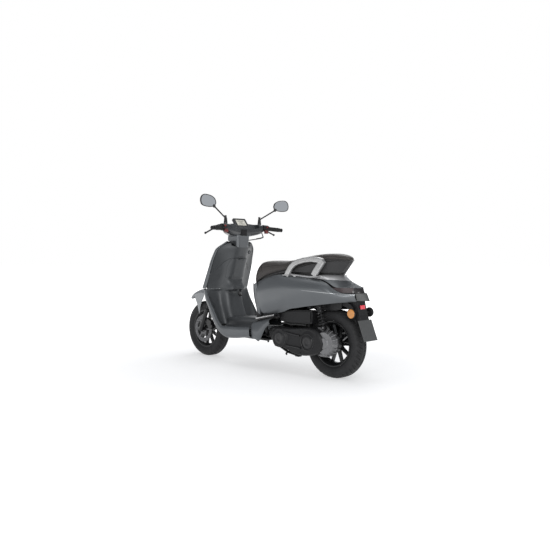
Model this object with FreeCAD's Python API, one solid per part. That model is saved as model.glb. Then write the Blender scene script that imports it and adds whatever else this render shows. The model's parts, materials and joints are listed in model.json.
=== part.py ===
"""A twin-wheel step-through moped scooter, built as an assembly of separate pieces.

Frame: +X is forwards, +Y is the rider's left, +Z is up. The origin is on the ground, in the
middle of the scooter's length, on its centre plane. Every size is in millimetres.
"""

import FreeCAD
import Part
import functools
import math
import os
from FreeCAD import Matrix, Placement, Rotation, Vector

# ---------------------------------------------------------------- driving dimensions
WHEELBASE = 1385.0
REAR_AXLE_X = -657.0
FRONT_AXLE_X = REAR_AXLE_X + WHEELBASE
FRONT_TYRE_R = 229.0
REAR_TYRE_R = 236.0
FRONT_TYRE_W = 110.0
REAR_TYRE_W = 120.0
CASTER_DEG = 26.5
STEER_GROUND_X = 813.0
FORK_HALF = 86.0
STANCHION_R = 13.0
FORK_LOWER_R = 18.0
DISC_R = 110.0
BAR_R = 11.0
BAR_END = (233.0, 361.0, 1047.0)
BAR_BEND = (288.0, 185.0, 1062.0)
MIRROR_STEM = (298.0, 179.0, 1082.0)
MIRROR_BALL = (262.0, 318.0, 1208.0)
MIRROR_CENTRE = (250.0, 382.0, 1247.0)
SWING_PIVOT = (-170.0, 290.0)
SHOCK_TOP = (-585.0, 560.0)
SHOCK_FOOT_EYE = (-650.0, 352.0)
SHOCK_Y = 118.0
PANEL_T = 3.0
SEAT_HINGE = (45.0, 612.0)
STAND_PIVOT = (-150.0, 196.0)
HOOK = (343.0, 552.0)
COLLAR_S = 1041.5
PEG_PIVOT = (-62.0, 374.0)

CASTER = math.radians(CASTER_DEG)
PARTS = "parts"


# ---------------------------------------------------------------- small tools
def vec(p):
    return Vector(*p)


def export(name, *shapes):
    """Writes one node from one or more solids."""
    solids = [s for shape in shapes for s in shape.Solids]
    whole = solids[0] if len(solids) == 1 else Part.makeCompound(solids)
    whole.exportStep(os.path.join(PARTS, name + ".step"))


def steer(s, e=0.0, y=0.0):
    """The point at height s along the steering axis, e ahead of it and y to the left."""
    up, ahead = math.cos(CASTER), math.sin(CASTER)
    return Vector(STEER_GROUND_X - s * ahead + e * up, y, s * up + e * ahead)


def steer_s(z):
    """Height along the steering axis at which the axis itself is at height z."""
    return z / math.cos(CASTER)


def box(x0, x1, y0, y1, z0, z1):
    return Part.makeBox(x1 - x0, y1 - y0, z1 - z0, Vector(x0, y0, z0))


def rod(a, b, r):
    a, b = Vector(a), Vector(b)
    return Part.makeCylinder(r, (b - a).Length, a, b - a)


def pipe(a, b, r_out, r_in):
    return rod(a, b, r_out).cut(rod(a, b, r_in))


def across(x, z, y0, y1, r):
    """A cylinder along Y."""
    return Part.makeCylinder(r, y1 - y0, Vector(x, y0, z), Vector(0, 1, 0))


def ring_across(x, z, y0, y1, r_out, r_in):
    return across(x, z, y0, y1, r_out).cut(across(x, z, y0, y1, r_in))


def mirrored(shape):
    return shape.mirror(Vector(0, 0, 0), Vector(0, 1, 0))


def both(shape):
    """The shape and its mirror image across the centre plane."""
    return [shape, mirrored(shape)]


def fuse(*shapes):
    shapes = [s for item in shapes for s in (item if isinstance(item, (list, tuple)) else [item])]
    whole = shapes[0].fuse(shapes[1:]) if len(shapes) > 1 else shapes[0]
    return whole.removeSplitter()


def cut(shape, *tools):
    tools = [s for item in tools for s in (item if isinstance(item, (list, tuple)) else [item])]
    return shape.cut(tools)


def polygon(points):
    return Part.makePolygon([vec(p) for p in points] + [vec(points[0])])


def prism(points, direction):
    """A flat outline pushed along a direction."""
    return Part.Face(polygon(points)).extrude(vec(direction))


def plate_xz(points, y0, y1):
    """A flat plate whose outline is given in X and Z."""
    return prism([(x, y0, z) for x, z in points], (0, y1 - y0, 0))


def plate_xy(points, z0, z1):
    return prism([(x, y, z0) for x, y in points], (0, 0, z1 - z0))


def bent_path(points, radius):
    """Straight runs through the points, with tangent arcs at the corners."""
    points = [vec(p) for p in points]
    edges, start = [], points[0]
    for a, b, c in zip(points, points[1:], points[2:]):
        into, out = (b - a).normalize(), (c - b).normalize()
        turn = into.getAngle(out)
        if turn < 1e-3:
            continue
        room = 0.45 * min((b - a).Length, (c - b).Length)
        set_back = min(radius * math.tan(turn / 2), room)
        p, q = b - into * set_back, b + out * set_back
        bisector = (out - into).normalize()
        r = set_back / math.tan(turn / 2)
        centre = b + bisector * (r / math.cos(turn / 2))
        middle = centre - bisector * r
        if (p - start).Length > 1e-6:
            edges.append(Part.LineSegment(start, p).toShape())
        edges.append(Part.Arc(p, middle, q).toShape())
        start = q
    edges.append(Part.LineSegment(start, points[-1]).toShape())
    return Part.Wire(edges)


def bent_rod(points, r, radius=40.0):
    """A round bar along straight runs joined by arcs."""
    path = bent_path(points, radius)
    first = (vec(points[1]) - vec(points[0])).normalize()
    profile = Part.Wire([Part.makeCircle(r, vec(points[0]), first)])
    return path.makePipeShell([profile], True, True)


def spline(points, tangents=None):
    curve = Part.BSplineCurve()
    curve.interpolate([Vector(p) for p in points])
    return curve.toShape()


def rounded_loop(half_x, half_y, corner, centre=(0, 0)):
    """Corner points and arcs of a rounded rectangle in two axes, as a wire in XY at z 0."""
    cx, cy = centre
    c = min(corner, half_x * 0.98, half_y * 0.98)
    edges = []
    for sx, sy, a0 in ((1, 1, 0), (-1, 1, 90), (-1, -1, 180), (1, -1, 270)):
        mid = Vector(cx + sx * (half_x - c), cy + sy * (half_y - c), 0)
        edges.append(Part.makeCircle(c, mid, Vector(0, 0, 1), a0, a0 + 90))
    runs = []
    for a, b in zip(edges, edges[1:] + edges[:1]):
        runs.append(a)
        runs.append(Part.LineSegment(a.valueAt(a.LastParameter), b.valueAt(b.FirstParameter)).toShape())
    return Part.Wire(runs)


def loop_at(z, x0, x1, half_y, corner):
    """A rounded rectangle in a level plane, from x0 to x1 and half_y each side."""
    wire = rounded_loop((x1 - x0) / 2, half_y, corner, ((x0 + x1) / 2, 0))
    wire.translate(Vector(0, 0, z))
    return wire


def loop_across(y, x0, x1, z0, z1, corner):
    """A rounded rectangle in a plane across Y."""
    wire = rounded_loop((x1 - x0) / 2, (z1 - z0) / 2, corner)
    wire.rotate(Vector(0, 0, 0), Vector(1, 0, 0), 90)
    wire.translate(Vector((x0 + x1) / 2, y, (z0 + z1) / 2))
    return wire


def loft(wires, ruled=False):
    return Part.makeLoft(wires, True, ruled)


def lerp(a, b, t):
    return a + (b - a) * t


def hermite(table, x):
    """Smooth interpolation of a table of (x, value, ...) rows, rising or falling in x."""
    rows = table if table[0][0] < table[-1][0] else table[::-1]
    x = min(max(x, rows[0][0]), rows[-1][0])
    i = max(k for k in range(len(rows) - 1) if rows[k][0] <= x)
    low, high = rows[i], rows[i + 1]
    before = rows[i - 1] if i else low
    after = rows[i + 2] if i + 2 < len(rows) else high
    span = high[0] - low[0]
    t = (x - low[0]) / span
    out = []
    for k in range(1, len(low)):
        m0 = (high[k] - before[k]) / (high[0] - before[0]) * span
        m1 = (after[k] - low[k]) / (after[0] - low[0]) * span
        a, b = low[k], high[k]
        out.append(
            (2 * t**3 - 3 * t**2 + 1) * a + (t**3 - 2 * t**2 + t) * m0
            + (3 * t**2 - 2 * t**3) * b + (t**3 - t**2) * m1
        )
    return out


def strip_wire(points, normal, thickness):
    """The closed outline of a thin wall that follows the points in one plane."""
    points, normal = [Vector(p) for p in points], Vector(normal).normalize()
    inner = []
    for i, p in enumerate(points):
        along = points[min(i + 1, len(points) - 1)] - points[max(i - 1, 0)]
        inner.append(p + along.cross(normal).normalize() * thickness)
    inner.reverse()
    first = Part.LineSegment(points[-1], inner[0]).toShape()
    last = Part.LineSegment(inner[-1], points[0]).toShape()
    return Part.Wire([spline(points), first, spline(inner), last])


def strip(stations, normal, thickness=PANEL_T, between=3):
    """A thin curved panel through rows of points, smoothed between the rows."""
    normals = normal if isinstance(normal, list) else [normal] * len(stations)
    normals = [Vector(n) for n in normals]
    rows = [[Vector(p) for p in row] for row in stations]
    middle = len(rows[0]) // 2
    reach = [0.0]
    for a, b in zip(rows, rows[1:]):
        reach.append(reach[-1] + max((b[0] - a[0]).Length, (b[middle] - a[middle]).Length, 1.0))
    wires = []
    for i in range(len(rows)):
        wires.append(strip_wire(rows[i], normals[i], thickness))
        if i + 1 == len(rows):
            break
        for k in range(1, between + 1):
            d = lerp(reach[i], reach[i + 1], k / (between + 1))
            row = [hermite([(reach[m],) + tuple(rows[m][j]) for m in range(len(rows))], d)
                   for j in range(len(rows[0]))]
            n = normals[i] + (normals[i + 1] - normals[i]) * (k / (between + 1))
            wires.append(strip_wire(row, n, thickness))
    return loft(wires, True)


def revolve(profile, centre, axis=(0, 1, 0)):
    """Turns a closed outline given as (radius, along) about an axis through centre."""
    points = [(r, a, 0) for r, a in profile]
    face = Part.Face(polygon(points))
    turned = face.revolve(Vector(0, 0, 0), Vector(0, 1, 0), 360)
    turned.Placement = Placement(vec(centre), Rotation(Vector(0, 1, 0), vec(axis)))
    return turned


def around(shape, centre, count, axis=(0, 1, 0), start=0.0):
    """Copies of a shape spaced evenly about an axis."""
    out = []
    for i in range(count):
        copy = shape.copy()
        copy.rotate(vec(centre), vec(axis), start + 360.0 * i / count)
        out.append(copy)
    return out


def bolt(point, direction, r=5.0, head=4.0, shank=8.0):
    """A hex head screw whose head sits on the point and stands out along the direction."""
    point, direction = Vector(point), Vector(direction).normalize()
    corners = [Vector(r * math.cos(a), r * math.sin(a), 0) for a in [i * math.pi / 3 for i in range(6)]]
    head_shape = Part.Face(Part.makePolygon(corners + corners[:1])).extrude(Vector(0, 0, head))
    shape = head_shape.fuse(Part.makeCylinder(r * 0.55, shank, Vector(0, 0, -shank))).removeSplitter()
    shape.Placement = Placement(point, Rotation(Vector(0, 0, 1), direction))
    return shape


# ---------------------------------------------------------------- chassis
def frame():
    """Steel tube frame: head tube, down tube, floor rails, seat rails and brackets."""
    bore = rod(steer(700), steer(960), 21)
    head = pipe(steer(722), steer(948), 28, 21)
    down = cut(bent_rod([steer(800, -22), (440, 0, 540), (404, 0, 340), (330, 0, 245)], 20, 60), bore)
    rail = bent_rod([(330, 70, 245), (-60, 70, 245), (-104, 132, 300), (-124, 132, 430),
                     (-205, 132, 600), (-480, 132, 636), (-706, 96, 632)], 12, 45)
    bracket = plate_xz([(-110, 232), (-60, 232), (-60, 262), (-118, 320), (-158, 310),
                        (-186, 298), (-186, 280), (-150, 262)], 74, 82)
    ear = plate_xz([(-606, 562), (-574, 562), (-566, 640), (-616, 640)], 98, 106)
    ear = fuse(ear, across(SHOCK_TOP[0], SHOCK_TOP[1] + 15, 98, 134, 6))
    peg_plate = plate_xz([(-30, 346), (-264, 400), (-264, 424), (-30, 404)], 150, 158)
    stay = across(-118, 400, 120, 156, 9)
    prop = bent_rod([(-124, 0, 430), (-64, 0, 440), (2, 0, 520), (14, 0, 582)], 8, 30)
    members = [head, down, rail, mirrored(rail), across(330, 245, -84, 84, 14), across(-60, 245, -84, 84, 12),
               across(-124, 430, -120, 120, 9), across(-706, 632, -90, 90, 9), bracket, mirrored(bracket),
               across(SWING_PIVOT[0], SWING_PIVOT[1], -82, 82, 8), ear, fuse(peg_plate, stay),
               mirrored(fuse(peg_plate, stay)), seat_hinge(), prop] + both(footrest_pins())
    placed = []
    for member in members:
        near = [other for other in placed if other.BoundBox.intersect(member.BoundBox)]
        solids = cut(member, *near).Solids if near else member.Solids
        placed += [solid for solid in solids if solid.Volume > 1000]
    return placed


APRON = (
    # z, edge x, edge y, rim width, centre x
    (952.0, 352.0, 116.0, 8.0, 392.0),
    (940.0, 354.0, 137.0, 11.0, 408.0),
    (894.0, 392.0, 191.0, 13.0, 443.0),
    (850.0, 412.0, 203.0, 14.0, 470.0),
    (800.0, 432.0, 211.0, 15.0, 500.0),
    (745.0, 450.0, 218.0, 17.0, 530.0),
    (690.0, 473.0, 221.0, 20.0, 556.0),
    (625.0, 500.0, 224.0, 24.0, 584.0),
    (578.0, 519.0, 227.0, 27.0, 599.0),
)


def apron_row(z, x_edge, y_edge, rim, x_centre):
    deep = x_centre - x_edge
    half = [(x_edge - rim, y_edge - 7), (x_edge - rim * 0.45, y_edge - 2), (x_edge, y_edge)]
    half += [(x_edge + deep * f, y_edge * g) for f, g in
             ((0.3, 0.925), (0.56, 0.78), (0.78, 0.55), (0.94, 0.28))]
    row = [(x, y, z) for x, y in half] + [(x_centre, 0, z)]
    return row + [(x, -y, z) for x, y in half[::-1]]


def front_signal_solid(grow=0.0):
    """One oval front lamp set into the apron."""
    face = Part.Ellipse(Vector(0, 0, 0), 46 + grow, 17 + grow).toShape()
    lamp = Part.Face(Part.Wire([face])).extrude(Vector(0, 0, 12))
    turn = Rotation(Vector(0, 0, 1), 62) * Rotation(Vector(0, 1, 0), 78) * Rotation(Vector(0, 0, 1), 62)
    lamp.Placement = Placement(Vector(458, 158, 720), turn)
    return lamp


def front_apron():
    rows = [apron_row(*line) for line in APRON]
    turning = rod(steer(COLLAR_S - 0.8), steer(1200), 98)
    return cut(strip(rows, (0, 0, -1)), both(front_signal_solid(1.0)), turning)


def front_signals():
    lamp = cut(front_signal_solid(), shield_wall())
    return both(max(lamp.Solids, key=lambda s: s.Volume))


SHIELD = (
    # z, rim y, then x at fractions 0, .28, .4, .5, .7, .88, 1 of the rim y
    (936.0, 128.0, (300, 303, 307, 312, 322, 334, 341)),
    (900.0, 178.0, (294, 300, 308, 318, 344, 366, 376)),
    (850.0, 192.0, (312, 318, 330, 346, 374, 390, 397)),
    (800.0, 200.0, (332, 336, 352, 372, 396, 408, 414)),
    (745.0, 207.0, (352, 355, 372, 393, 414, 425, 430)),
    (690.0, 210.0, (370, 372, 388, 410, 430, 443, 449)),
    (650.0, 212.0, (382, 383, 396, 420, 444, 456, 462)),
    (620.0, 213.0, (368, 372, 400, 428, 452, 465, 471)),
    (597.0, 214.0, (350, 356, 402, 434, 458, 470, 478)),
    (581.0, 214.0, (342, 348, 402, 437, 460, 474, 484)),
    (569.0, 214.0, (346, 352, 408, 442, 464, 477, 488)),
    (552.0, 214.0, (390, 394, 418, 452, 472, 480, 484)),
    (500.0, 214.0, (384, 387, 408, 448, 464, 466, 456)),
    (445.0, 214.0, (370, 373, 392, 436, 448, 440, 418)),
    (385.0, 214.0, (345, 348, 364, 410, 424, 410, 377)),
    (326.0, 214.0, (318, 322, 338, 388, 400, 380, 334)),
    (300.0, 213.0, (306, 310, 326, 380, 392, 366, 304)),
)
FRACTIONS = (0.0, 0.28, 0.4, 0.5, 0.7, 0.88, 1.0)


def shield_row(z, y_rim, xs, set_back=0.0, narrow=1.0):
    half = [(x - set_back, y_rim * f * narrow, z) for x, f in zip(xs, FRACTIONS)]
    return half[::-1] + [(x, -y, z) for x, y, z in half[1:]]


def shield_at(z):
    """The shield's rider-side row at any height."""
    table = [(line[0], line[1]) + line[2] for line in SHIELD]
    row = hermite(table, z)
    return row[0], tuple(row[1:])


def shield_x(z, y):
    y_rim, xs = shield_at(z)
    return hermite([(f, x) for f, x in zip(FRACTIONS, xs)], abs(y) / y_rim)[0]


@functools.lru_cache(maxsize=None)
def shield_wall():
    """The plain wall of the leg shield on the rider's side."""
    return strip([shield_row(*line) for line in SHIELD], (0, 0, -1), PANEL_T)


def inner_leg_shield():
    """The rider-side wall of the leg shield, with a glove bin, a collar and a ledge."""
    window = box(300, 420, -74, 74, 682, 792)
    bin_outer = plate_xz([(300, 798), (300, 676), (408, 676), (378, 798)], -80, 80)
    bin_inner = plate_xz([(280, 795), (280, 679), (405, 679), (375, 795)], -77, 77)
    rider_side = strip([shield_row(*line) for line in SHIELD[2:8]], (0, 0, -1), -60.0)
    collar = plate_xy([(345, 112), (392, 84), (398, 0), (392, -84), (345, -112),
                       (312, -96), (312, 96)], 938, 941)
    turning = rod(steer(COLLAR_S - 0.8), steer(1200), 98)
    wall = cut(shield_wall(), window, turning, ignition_hole())
    ears = [plate_xz([(334, 545), (352, 545), (360, 572), (334, 572)], y, y + 5) for y in (-20, 15)]
    hook_pin = across(HOOK[0], HOOK[1], -20, 20, 3)
    wall = fuse(wall, ears, hook_pin)
    glove_bin = cut(bin_outer, bin_inner, rider_side, wall)
    collar_parts = cut(collar, turning, rod(steer(700), steer(1040), 36), front_apron(), wall)
    solids = [ignition_barrel()] + wall.Solids + collar_parts.Solids
    return [solid for solid in solids if solid.Volume > 200] + [max(glove_bin.Solids, key=lambda s: s.Volume)]


def ignition_place():
    z, y = 868.0, -104.0
    return Vector(shield_x(z, y), y, z)


def ignition_hole():
    p = ignition_place()
    return rod(p - Vector(30, 0, 0), p + Vector(30, 0, 0), 15)


def ignition_barrel():
    """Fixed barrel and guard ring of the ignition switch."""
    p = ignition_place()
    barrel = pipe(p + Vector(-7, 0, 0), p + Vector(26, 0, 0), 14.6, 9.05)
    return fuse(barrel, rod(p + Vector(26, 0, 0), p + Vector(29, 0, 0), 14.6))


def ignition_switch():
    """The turning key plug with its key bow."""
    p = ignition_place()
    plug = rod(p + Vector(-9, 0, 0), p + Vector(25.5, 0, 0), 9)
    bow = box(p.x - 27, p.x - 9, p.y - 9, p.y + 9, p.z - 1.5, p.z + 1.5)
    return fuse(plug, bow)


def glovebox_lid():
    """A curved lid over the glove bin, hinged along its lower edge."""
    rows = []
    for z in (664.0, 700.0, 745.0, 785.0, 815.0):
        half_y = 96.0 if z < 760 else 96.0 - (z - 760) * 0.35
        ys = [half_y * f for f in (-1, -0.75, -0.5, -0.25, 0, 0.25, 0.5, 0.75, 1)]
        rows.append([(shield_x(z, y) - 5.6, y, z) for y in ys])
    lid = strip(rows, (0, 0, -1), 3.0)
    edge = shield_x(808, 0)
    return fuse(lid, box(edge - 17, edge - 7, -22, 22, 804, 811))


def floorboard():
    """Floor with two foot wells beside a raised tunnel."""
    rows = []
    for x, top, rim in ((384, 349, 297), (330, 352, 297), (219, 356, 299), (100, 362, 304), (-36, 370, 312)):
        floor = rim - 12
        half = [(212, rim), (203, rim - 1), (197, floor + 2), (186, floor), (150, floor), (112, floor),
                (103, floor + 3), (97, top - 8), (90, top), (45, top + 3)]
        row = [(x, y, z) for y, z in half] + [(x, 0, top + 4)]
        rows.append(row + [(x, -y, z) for y, z in half[::-1]])
    board = strip(rows, (-1, 0, 0), 3.0)
    corners = [box(-48, 6, y, y + 26, 255, 335) for y in (-222, 196)]
    trimmed = cut(board, shield_wall(), *side_skirts(), *corners)
    return max(trimmed.Solids, key=lambda s: s.Volume)


def belly_pan():
    """Black pan under the floor, carrying the battery."""
    pan = box(-112, 306, -112, 112, 219, 224)
    ribs = [box(x, x + 6, -100, 100, 206, 219) for x in (-70, -10, 50, 110, 170)]
    lips = [box(-112, 306, y, y + 4, 209, 219) for y in (-112, 108)]
    hook = rod((-52, 60, 206), (-52, 60, 190), 7)
    return fuse(pan, ribs, lips, hook)


STRIP = (
    # inner rim x, z, then outer edge x, z
    ((492, 566), (520, 574)),
    ((458, 500), (507, 492)),
    ((420, 445), (468, 430)),
    ((377, 385), (431, 352)),
    ((336, 328), (391, 298)),
    ((304, 301), (350, 254)),
    ((270, 297), (300, 222)),
    ((225, 299), (248, 209)),
    ((150, 302), (150, 214)),
    ((60, 306), (60, 226)),
    ((-18, 312), (-18, 233)),
)


def side_skirts():
    """Painted strips that run down beside the leg shield and back along the floor."""
    rows, normals = [], []
    for (xi, zi), (xo, zo) in STRIP:
        across_strip = Vector(xo - xi, 0, zo - zi).normalize()
        normals.append(across_strip.cross(Vector(0, 1, 0)))
        low = xi < 240
        profile = ((0.0, 217), (0.06, 223), (0.2, 227), (0.5, 227), (0.78, 224 if low else 223),
                   (0.93, 214), (1.0, 196))
        rows.append([(lerp(xi, xo, f), y, lerp(zi, zo, f)) for f, y in profile])
    return both(cut(strip(rows, normals, PANEL_T), shield_wall()))


def footrest_panels():
    """Panels below the folded footrests, closing the sides of the engine bay."""
    rows = []
    for x, low, high in ((-22, 236, 350), (-60, 226, 358), (-95, 215, 366), (-130, 262, 374),
                         (-163, 312, 382), (-210, 352, 392)):
        rows.append([(x, y, lerp(high, low, f)) for f, y in
                     ((0, 178), (0.1, 194), (0.3, 206), (0.6, 212), (0.85, 208), (1, 200))])
    panel = strip(rows, (-1, 0, 0), -PANEL_T)
    return both(cut(panel, box(-76, -50, 150, 186, 340, 400)))


SIDE = (
    # top x, top z, bottom x, bottom z, y at fractions 0, .1, .28, .5, .72, .9, 1
    (-38, 646, -80, 416, (150, 167, 179, 180, 177, 171, 163)),
    (-100, 671, -140, 418, (148, 172, 188, 189, 184, 171, 160)),
    (-200, 698, -225, 424, (148, 175, 194, 195, 188, 168, 155)),
    (-290, 706, -300, 440, (148, 176, 197, 198, 190, 167, 154)),
    (-374, 697, -380, 466, (148, 176, 197, 197, 188, 176, 168)),
    (-450, 692, -452, 478, (147, 174, 195, 195, 184, 173, 167)),
    (-512, 687, -512, 489, (146, 171, 190, 190, 179, 170, 164)),
    (-580, 681, -581, 499, (144, 165, 183, 183, 173, 164, 158)),
    (-640, 672, -641, 508, (139, 157, 173, 173, 164, 156, 151)),
    (-690, 652, -692, 515, (133, 147, 160, 160, 152, 145, 140)),
    (-735, 618, -738, 522, (124, 132, 143, 144, 137, 130, 124)),
    (-790, 592, -794, 528, (108, 113, 118, 117, 111, 104, 98)),
    (-830, 588, -836, 532, (84, 87, 90, 89, 84, 78, 73)),
    (-862, 587, -868, 536, (55, 57, 59, 58, 54, 50, 46)),
)
SIDE_F = (0.0, 0.1, 0.28, 0.5, 0.72, 0.9, 1.0)


def side_panels():
    """Painted body sides, full below the seat and narrowing to the tail."""
    rows, normals = [], []
    for xt, zt, xb, zb, ys in SIDE:
        rows.append([(lerp(xt, xb, f), y, lerp(zt, zb, f)) for f, y in zip(SIDE_F, ys)])
        normals.append(Vector(xb - xt, 0, zb - zt).cross(Vector(0, 1, 0)))
    return both(strip(rows, normals, PANEL_T))


def seat_front_cover():
    """The rounded front of the body under the seat nose."""
    rows = []
    for z, x45 in ((632, 162), (616, 162), (573, 160), (517, 149), (461, 131), (418, 120)):
        back = -37.0 - (646.0 - z) * 42.0 / 230.0
        tip = x45 - 106
        half = [(back + 1, 176), (lerp(back, x45 - 150, 0.55), 168), (x45 - 150, 150), (x45 - 130, 130),
                (x45 - 113, 96), (tip - 2, 48)]
        row = [(x, y, z) for x, y in half] + [(tip, 0, z)]
        rows.append(row + [(x, -y, z) for x, y in half[::-1]])
    return cut(strip(rows, (0, 0, -1)), box(-60, 100, -124, 124, 607, 650))


def tail_cover():
    """Deck behind the seat: two arms beside the seat and a tapering hood over the tail."""
    hood_rows = []
    for x, points in (
        (-604, ((137, 684), (132, 695), (122, 704), (98, 709), (58, 711), (0, 712))),
        (-650, ((130, 676), (120, 688), (102, 701), (80, 709), (48, 713), (0, 714))),
        (-700, ((122, 652), (108, 665), (86, 680), (62, 696), (34, 707), (0, 711))),
        (-738, ((118, 632), (100, 646), (76, 660), (52, 674), (26, 688), (0, 694))),
        (-770, ((108, 627), (90, 637), (68, 648), (46, 659), (22, 669), (0, 674))),
        (-810, ((84, 627), (68, 633), (50, 640), (32, 648), (15, 654), (0, 656))),
        (-856, ((42, 627), (33, 630), (24, 633), (15, 636), (7, 638), (0, 639))),
        (-884, ((14, 627), (11, 628), (8, 629), (5, 630), (2.5, 630.6), (0, 631))),
    ):
        row = [(x, y, z) for y, z in points]
        hood_rows.append(row + [(x, -y, z) for x, y, z in row[-2::-1]])
    hood = strip(hood_rows, (-1, 0, 0), 3.0)
    arm_rows = []
    for x, z, y in ((-340, 703, 144), (-374, 700, 144), (-450, 695, 143), (-512, 690, 142), (-602, 686, 139)):
        arm_rows.append([(x, y, z), (x, y - 6, z + 8), (x, y - 16, z + 11), (x, y - 34, z + 11)])
    arm = strip(arm_rows, (-1, 0, 0), 2.5)
    return [hood] + both(arm)


def tail_loop(table, z):
    """Half outline of the tail in plan, from the side to the rear centre, then mirrored."""
    row = [(x, y, z) for x, y in table]
    return row + [(x, -y, z) for x, y, z in row[-2::-1]]


def tail_lamp():
    """Smoked lamp band that wraps round the tail between the deck and the sides."""
    low = ((-722, 127), (-762, 113), (-806, 91), (-846, 60), (-874, 32), (-893, 12), (-898, 0))
    high = ((-704, 131), (-762, 113), (-804, 88), (-842, 57), (-866, 31), (-880, 12), (-884, 0))
    rows = [tail_loop([(lerp(a[0], b[0], f), lerp(a[1], b[1], f)) for a, b in zip(low, high)], z)
            for f, z in ((0, 592), (0.5, 609), (1, 625.5))]
    lamp = strip(rows, (0, 0, 1), -9.0)
    return cut(lamp, *[side for side in side_panels()], tail_cover()[0])


def tail_rear_panel():
    """Grey panel that closes the tail below the lamp."""
    low = ((-870, 44), (-892, 38), (-918, 24), (-934, 12), (-941, 0))
    high = ((-864, 53), (-882, 40), (-902, 22), (-912, 10), (-916, 0))
    rows = [tail_loop([(lerp(a[0], b[0], f), lerp(a[1], b[1], f)) for a, b in zip(low, high)], z)
            for f, z in ((0, 541), (0.5, 565), (1, 590))]
    wall = strip(rows, (0, 0, 1), -4.0)
    floor = plate_xy([(-800, 84), (-868, 42), (-908, 24), (-930, 0), (-908, -24), (-868, -42), (-800, -84)],
                     542, 546)
    return [cut(wall, floor), floor]


def section(point, along, half_out, half_side):
    """A rounded bar section square to a direction that lies near the XZ plane."""
    along = Vector(along).normalize()
    out = Vector(0, 1, 0).cross(along).normalize()
    side = along.cross(out).normalize()
    loop = rounded_loop(half_out, half_side, min(half_out, half_side) * 0.6)
    m = Matrix(out.x, side.x, along.x, point.x, out.y, side.y, along.y, point.y,
               out.z, side.z, along.z, point.z, 0, 0, 0, 1)
    loop.transformShape(m)
    return loop


def bar(rows):
    """A bar through rows of (x, y, z, half height, half width), sections square to its path."""
    points = [vec(row[:3]) for row in rows]
    loops = []
    for i, row in enumerate(rows):
        along = points[min(i + 1, len(points) - 1)] - points[max(i - 1, 0)]
        loops.append(section(points[i], along, row[3], row[4]))
    return loft(loops, True)


def grab_rails():
    """Two cast grab rails, each an arch with its feet on the deck."""
    front = [(-334, 154, 698, 20, 9), (-350, 154, 724, 20, 10), (-376, 154, 757, 19.5, 11),
             (-408, 154, 781, 19, 12), (-446, 153, 796, 18.5, 13), (-500, 152, 808, 18, 13),
             (-560, 150, 814, 18, 13), (-620, 148, 810, 19, 14), (-662, 146, 800, 20, 14)]
    back = [(-668, 146, 806, 20, 14), (-642, 147, 778, 23, 13), (-610, 149, 740, 23, 11),
            (-584, 150, 704, 23, 9)]
    foot = plate_xy([(-362, 147), (-306, 147), (-306, 167), (-362, 167)], 699, 706)
    rear = plate_xy([(-628, 142), (-556, 142), (-556, 160), (-628, 160)], 694, 700)
    return both(cut(fuse(bar(front), bar(back), foot, rear), side_panels()[0]))


def plate_carrier():
    """Bracket behind the guard that carries the plate and the rear reflector."""
    return plate_xz([(-812, 541), (-868, 541), (-878, 498), (-890, 450), (-906, 408), (-884, 392),
                     (-846, 440), (-814, 480)], -46, 46)


def rear_mudguard():
    """Inner mudguard over the rear wheel, with side lips and the carrier for plate and reflectors."""
    path = [(-456, 470), (-520, 500), (-590, 514), (-657, 519), (-730, 513), (-790, 500), (-838, 466),
            (-866, 424), (-880, 392)]
    section_wire = strip_wire([Vector(x, 0, z) for x, z in path], (0, -1, 0), 3.0)
    guard = Part.Face(section_wire).extrude(Vector(0, 128, 0))
    guard.translate(Vector(0, -64, 0))
    lip_wire = strip_wire([Vector(x, 0, z - 1.5) for x, z in path[:7]], (0, -1, 0), 34.0)
    lip = Part.Face(lip_wire).extrude(Vector(0, 3, 0))
    lip.translate(Vector(0, 61, 0))
    arm = rod((-866, 46, 459), (-866, 90, 459), 6)
    return cut(fuse(guard, plate_carrier(), both(lip), both(arm)), number_plate())


def number_plate():
    """Blank plate and flap hanging from the carrier."""
    plate = prism([(-899, -70, 412), (-899, 70, 412), (-951, 70, 279), (-951, -70, 279)], (-5, 0, 2))
    bolts = [bolt((-909, y, 391), (-0.93, 0, 0.36), 5, 3, 4) for y in (-30, 30)]
    return fuse(plate, bolts)


def side_reflectors():
    """Round reflectors that face sideways at the rear."""
    disc = fuse(across(-866, 459, 90.3, 96, 30), across(-866, 459, 96, 104, 33))
    return both(disc)


def rear_reflector():
    base = plate_xz([(-878.5, 484), (-886, 484), (-884, 512), (-875.5, 512)], -24, 24)
    return base.cut(plate_carrier())


def helmet_box():
    """Open tub under the seat."""
    outline = [(-72, 640), (-200, 682), (-462, 694), (-462, 520), (-300, 514), (-252, 470), (-96, 470)]
    hollow = [(-60, 660), (-200, 760), (-459, 760), (-459, 523), (-299, 517), (-251, 473), (-99, 473),
              (-76, 628)]
    return plate_xz(outline, -116, 116).cut(plate_xz(hollow, -113, 113))


def fuel_tank():
    outside = ((586, -680, -490, 76), (600, -690, -480, 86), (650, -690, -480, 86), (664, -680, -490, 76))
    inside = ((590, -676, -494, 72), (603, -686, -484, 82), (648, -686, -484, 82), (659, -676, -494, 72))
    body = loft([loop_at(z, a, b, h, 26) for z, a, b, h in outside], True)
    inner = loft([loop_at(z, a, b, h, 22) for z, a, b, h in inside], True)
    neck = rod((-560, 0, 655), (-560, 0, 682), 26)
    return cut(fuse(body, neck), inner, rod((-560, 0, 650), (-560, 0, 690), 20.1))


def fuel_cap():
    plug = rod((-560, 0, 668), (-560, 0, 682.4), 20)
    top = rod((-560, 0, 682.4), (-560, 0, 694), 29)
    bar = box(-584, -536, -5, 5, 694, 700)
    return fuse(plug, top, bar)


def battery():
    case = box(60, 200, -43, 43, 224.2, 318)
    posts = [box(x, x + 14, -8, 8, 318, 328) for x in (72, 174)]
    return fuse(case, posts)


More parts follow.
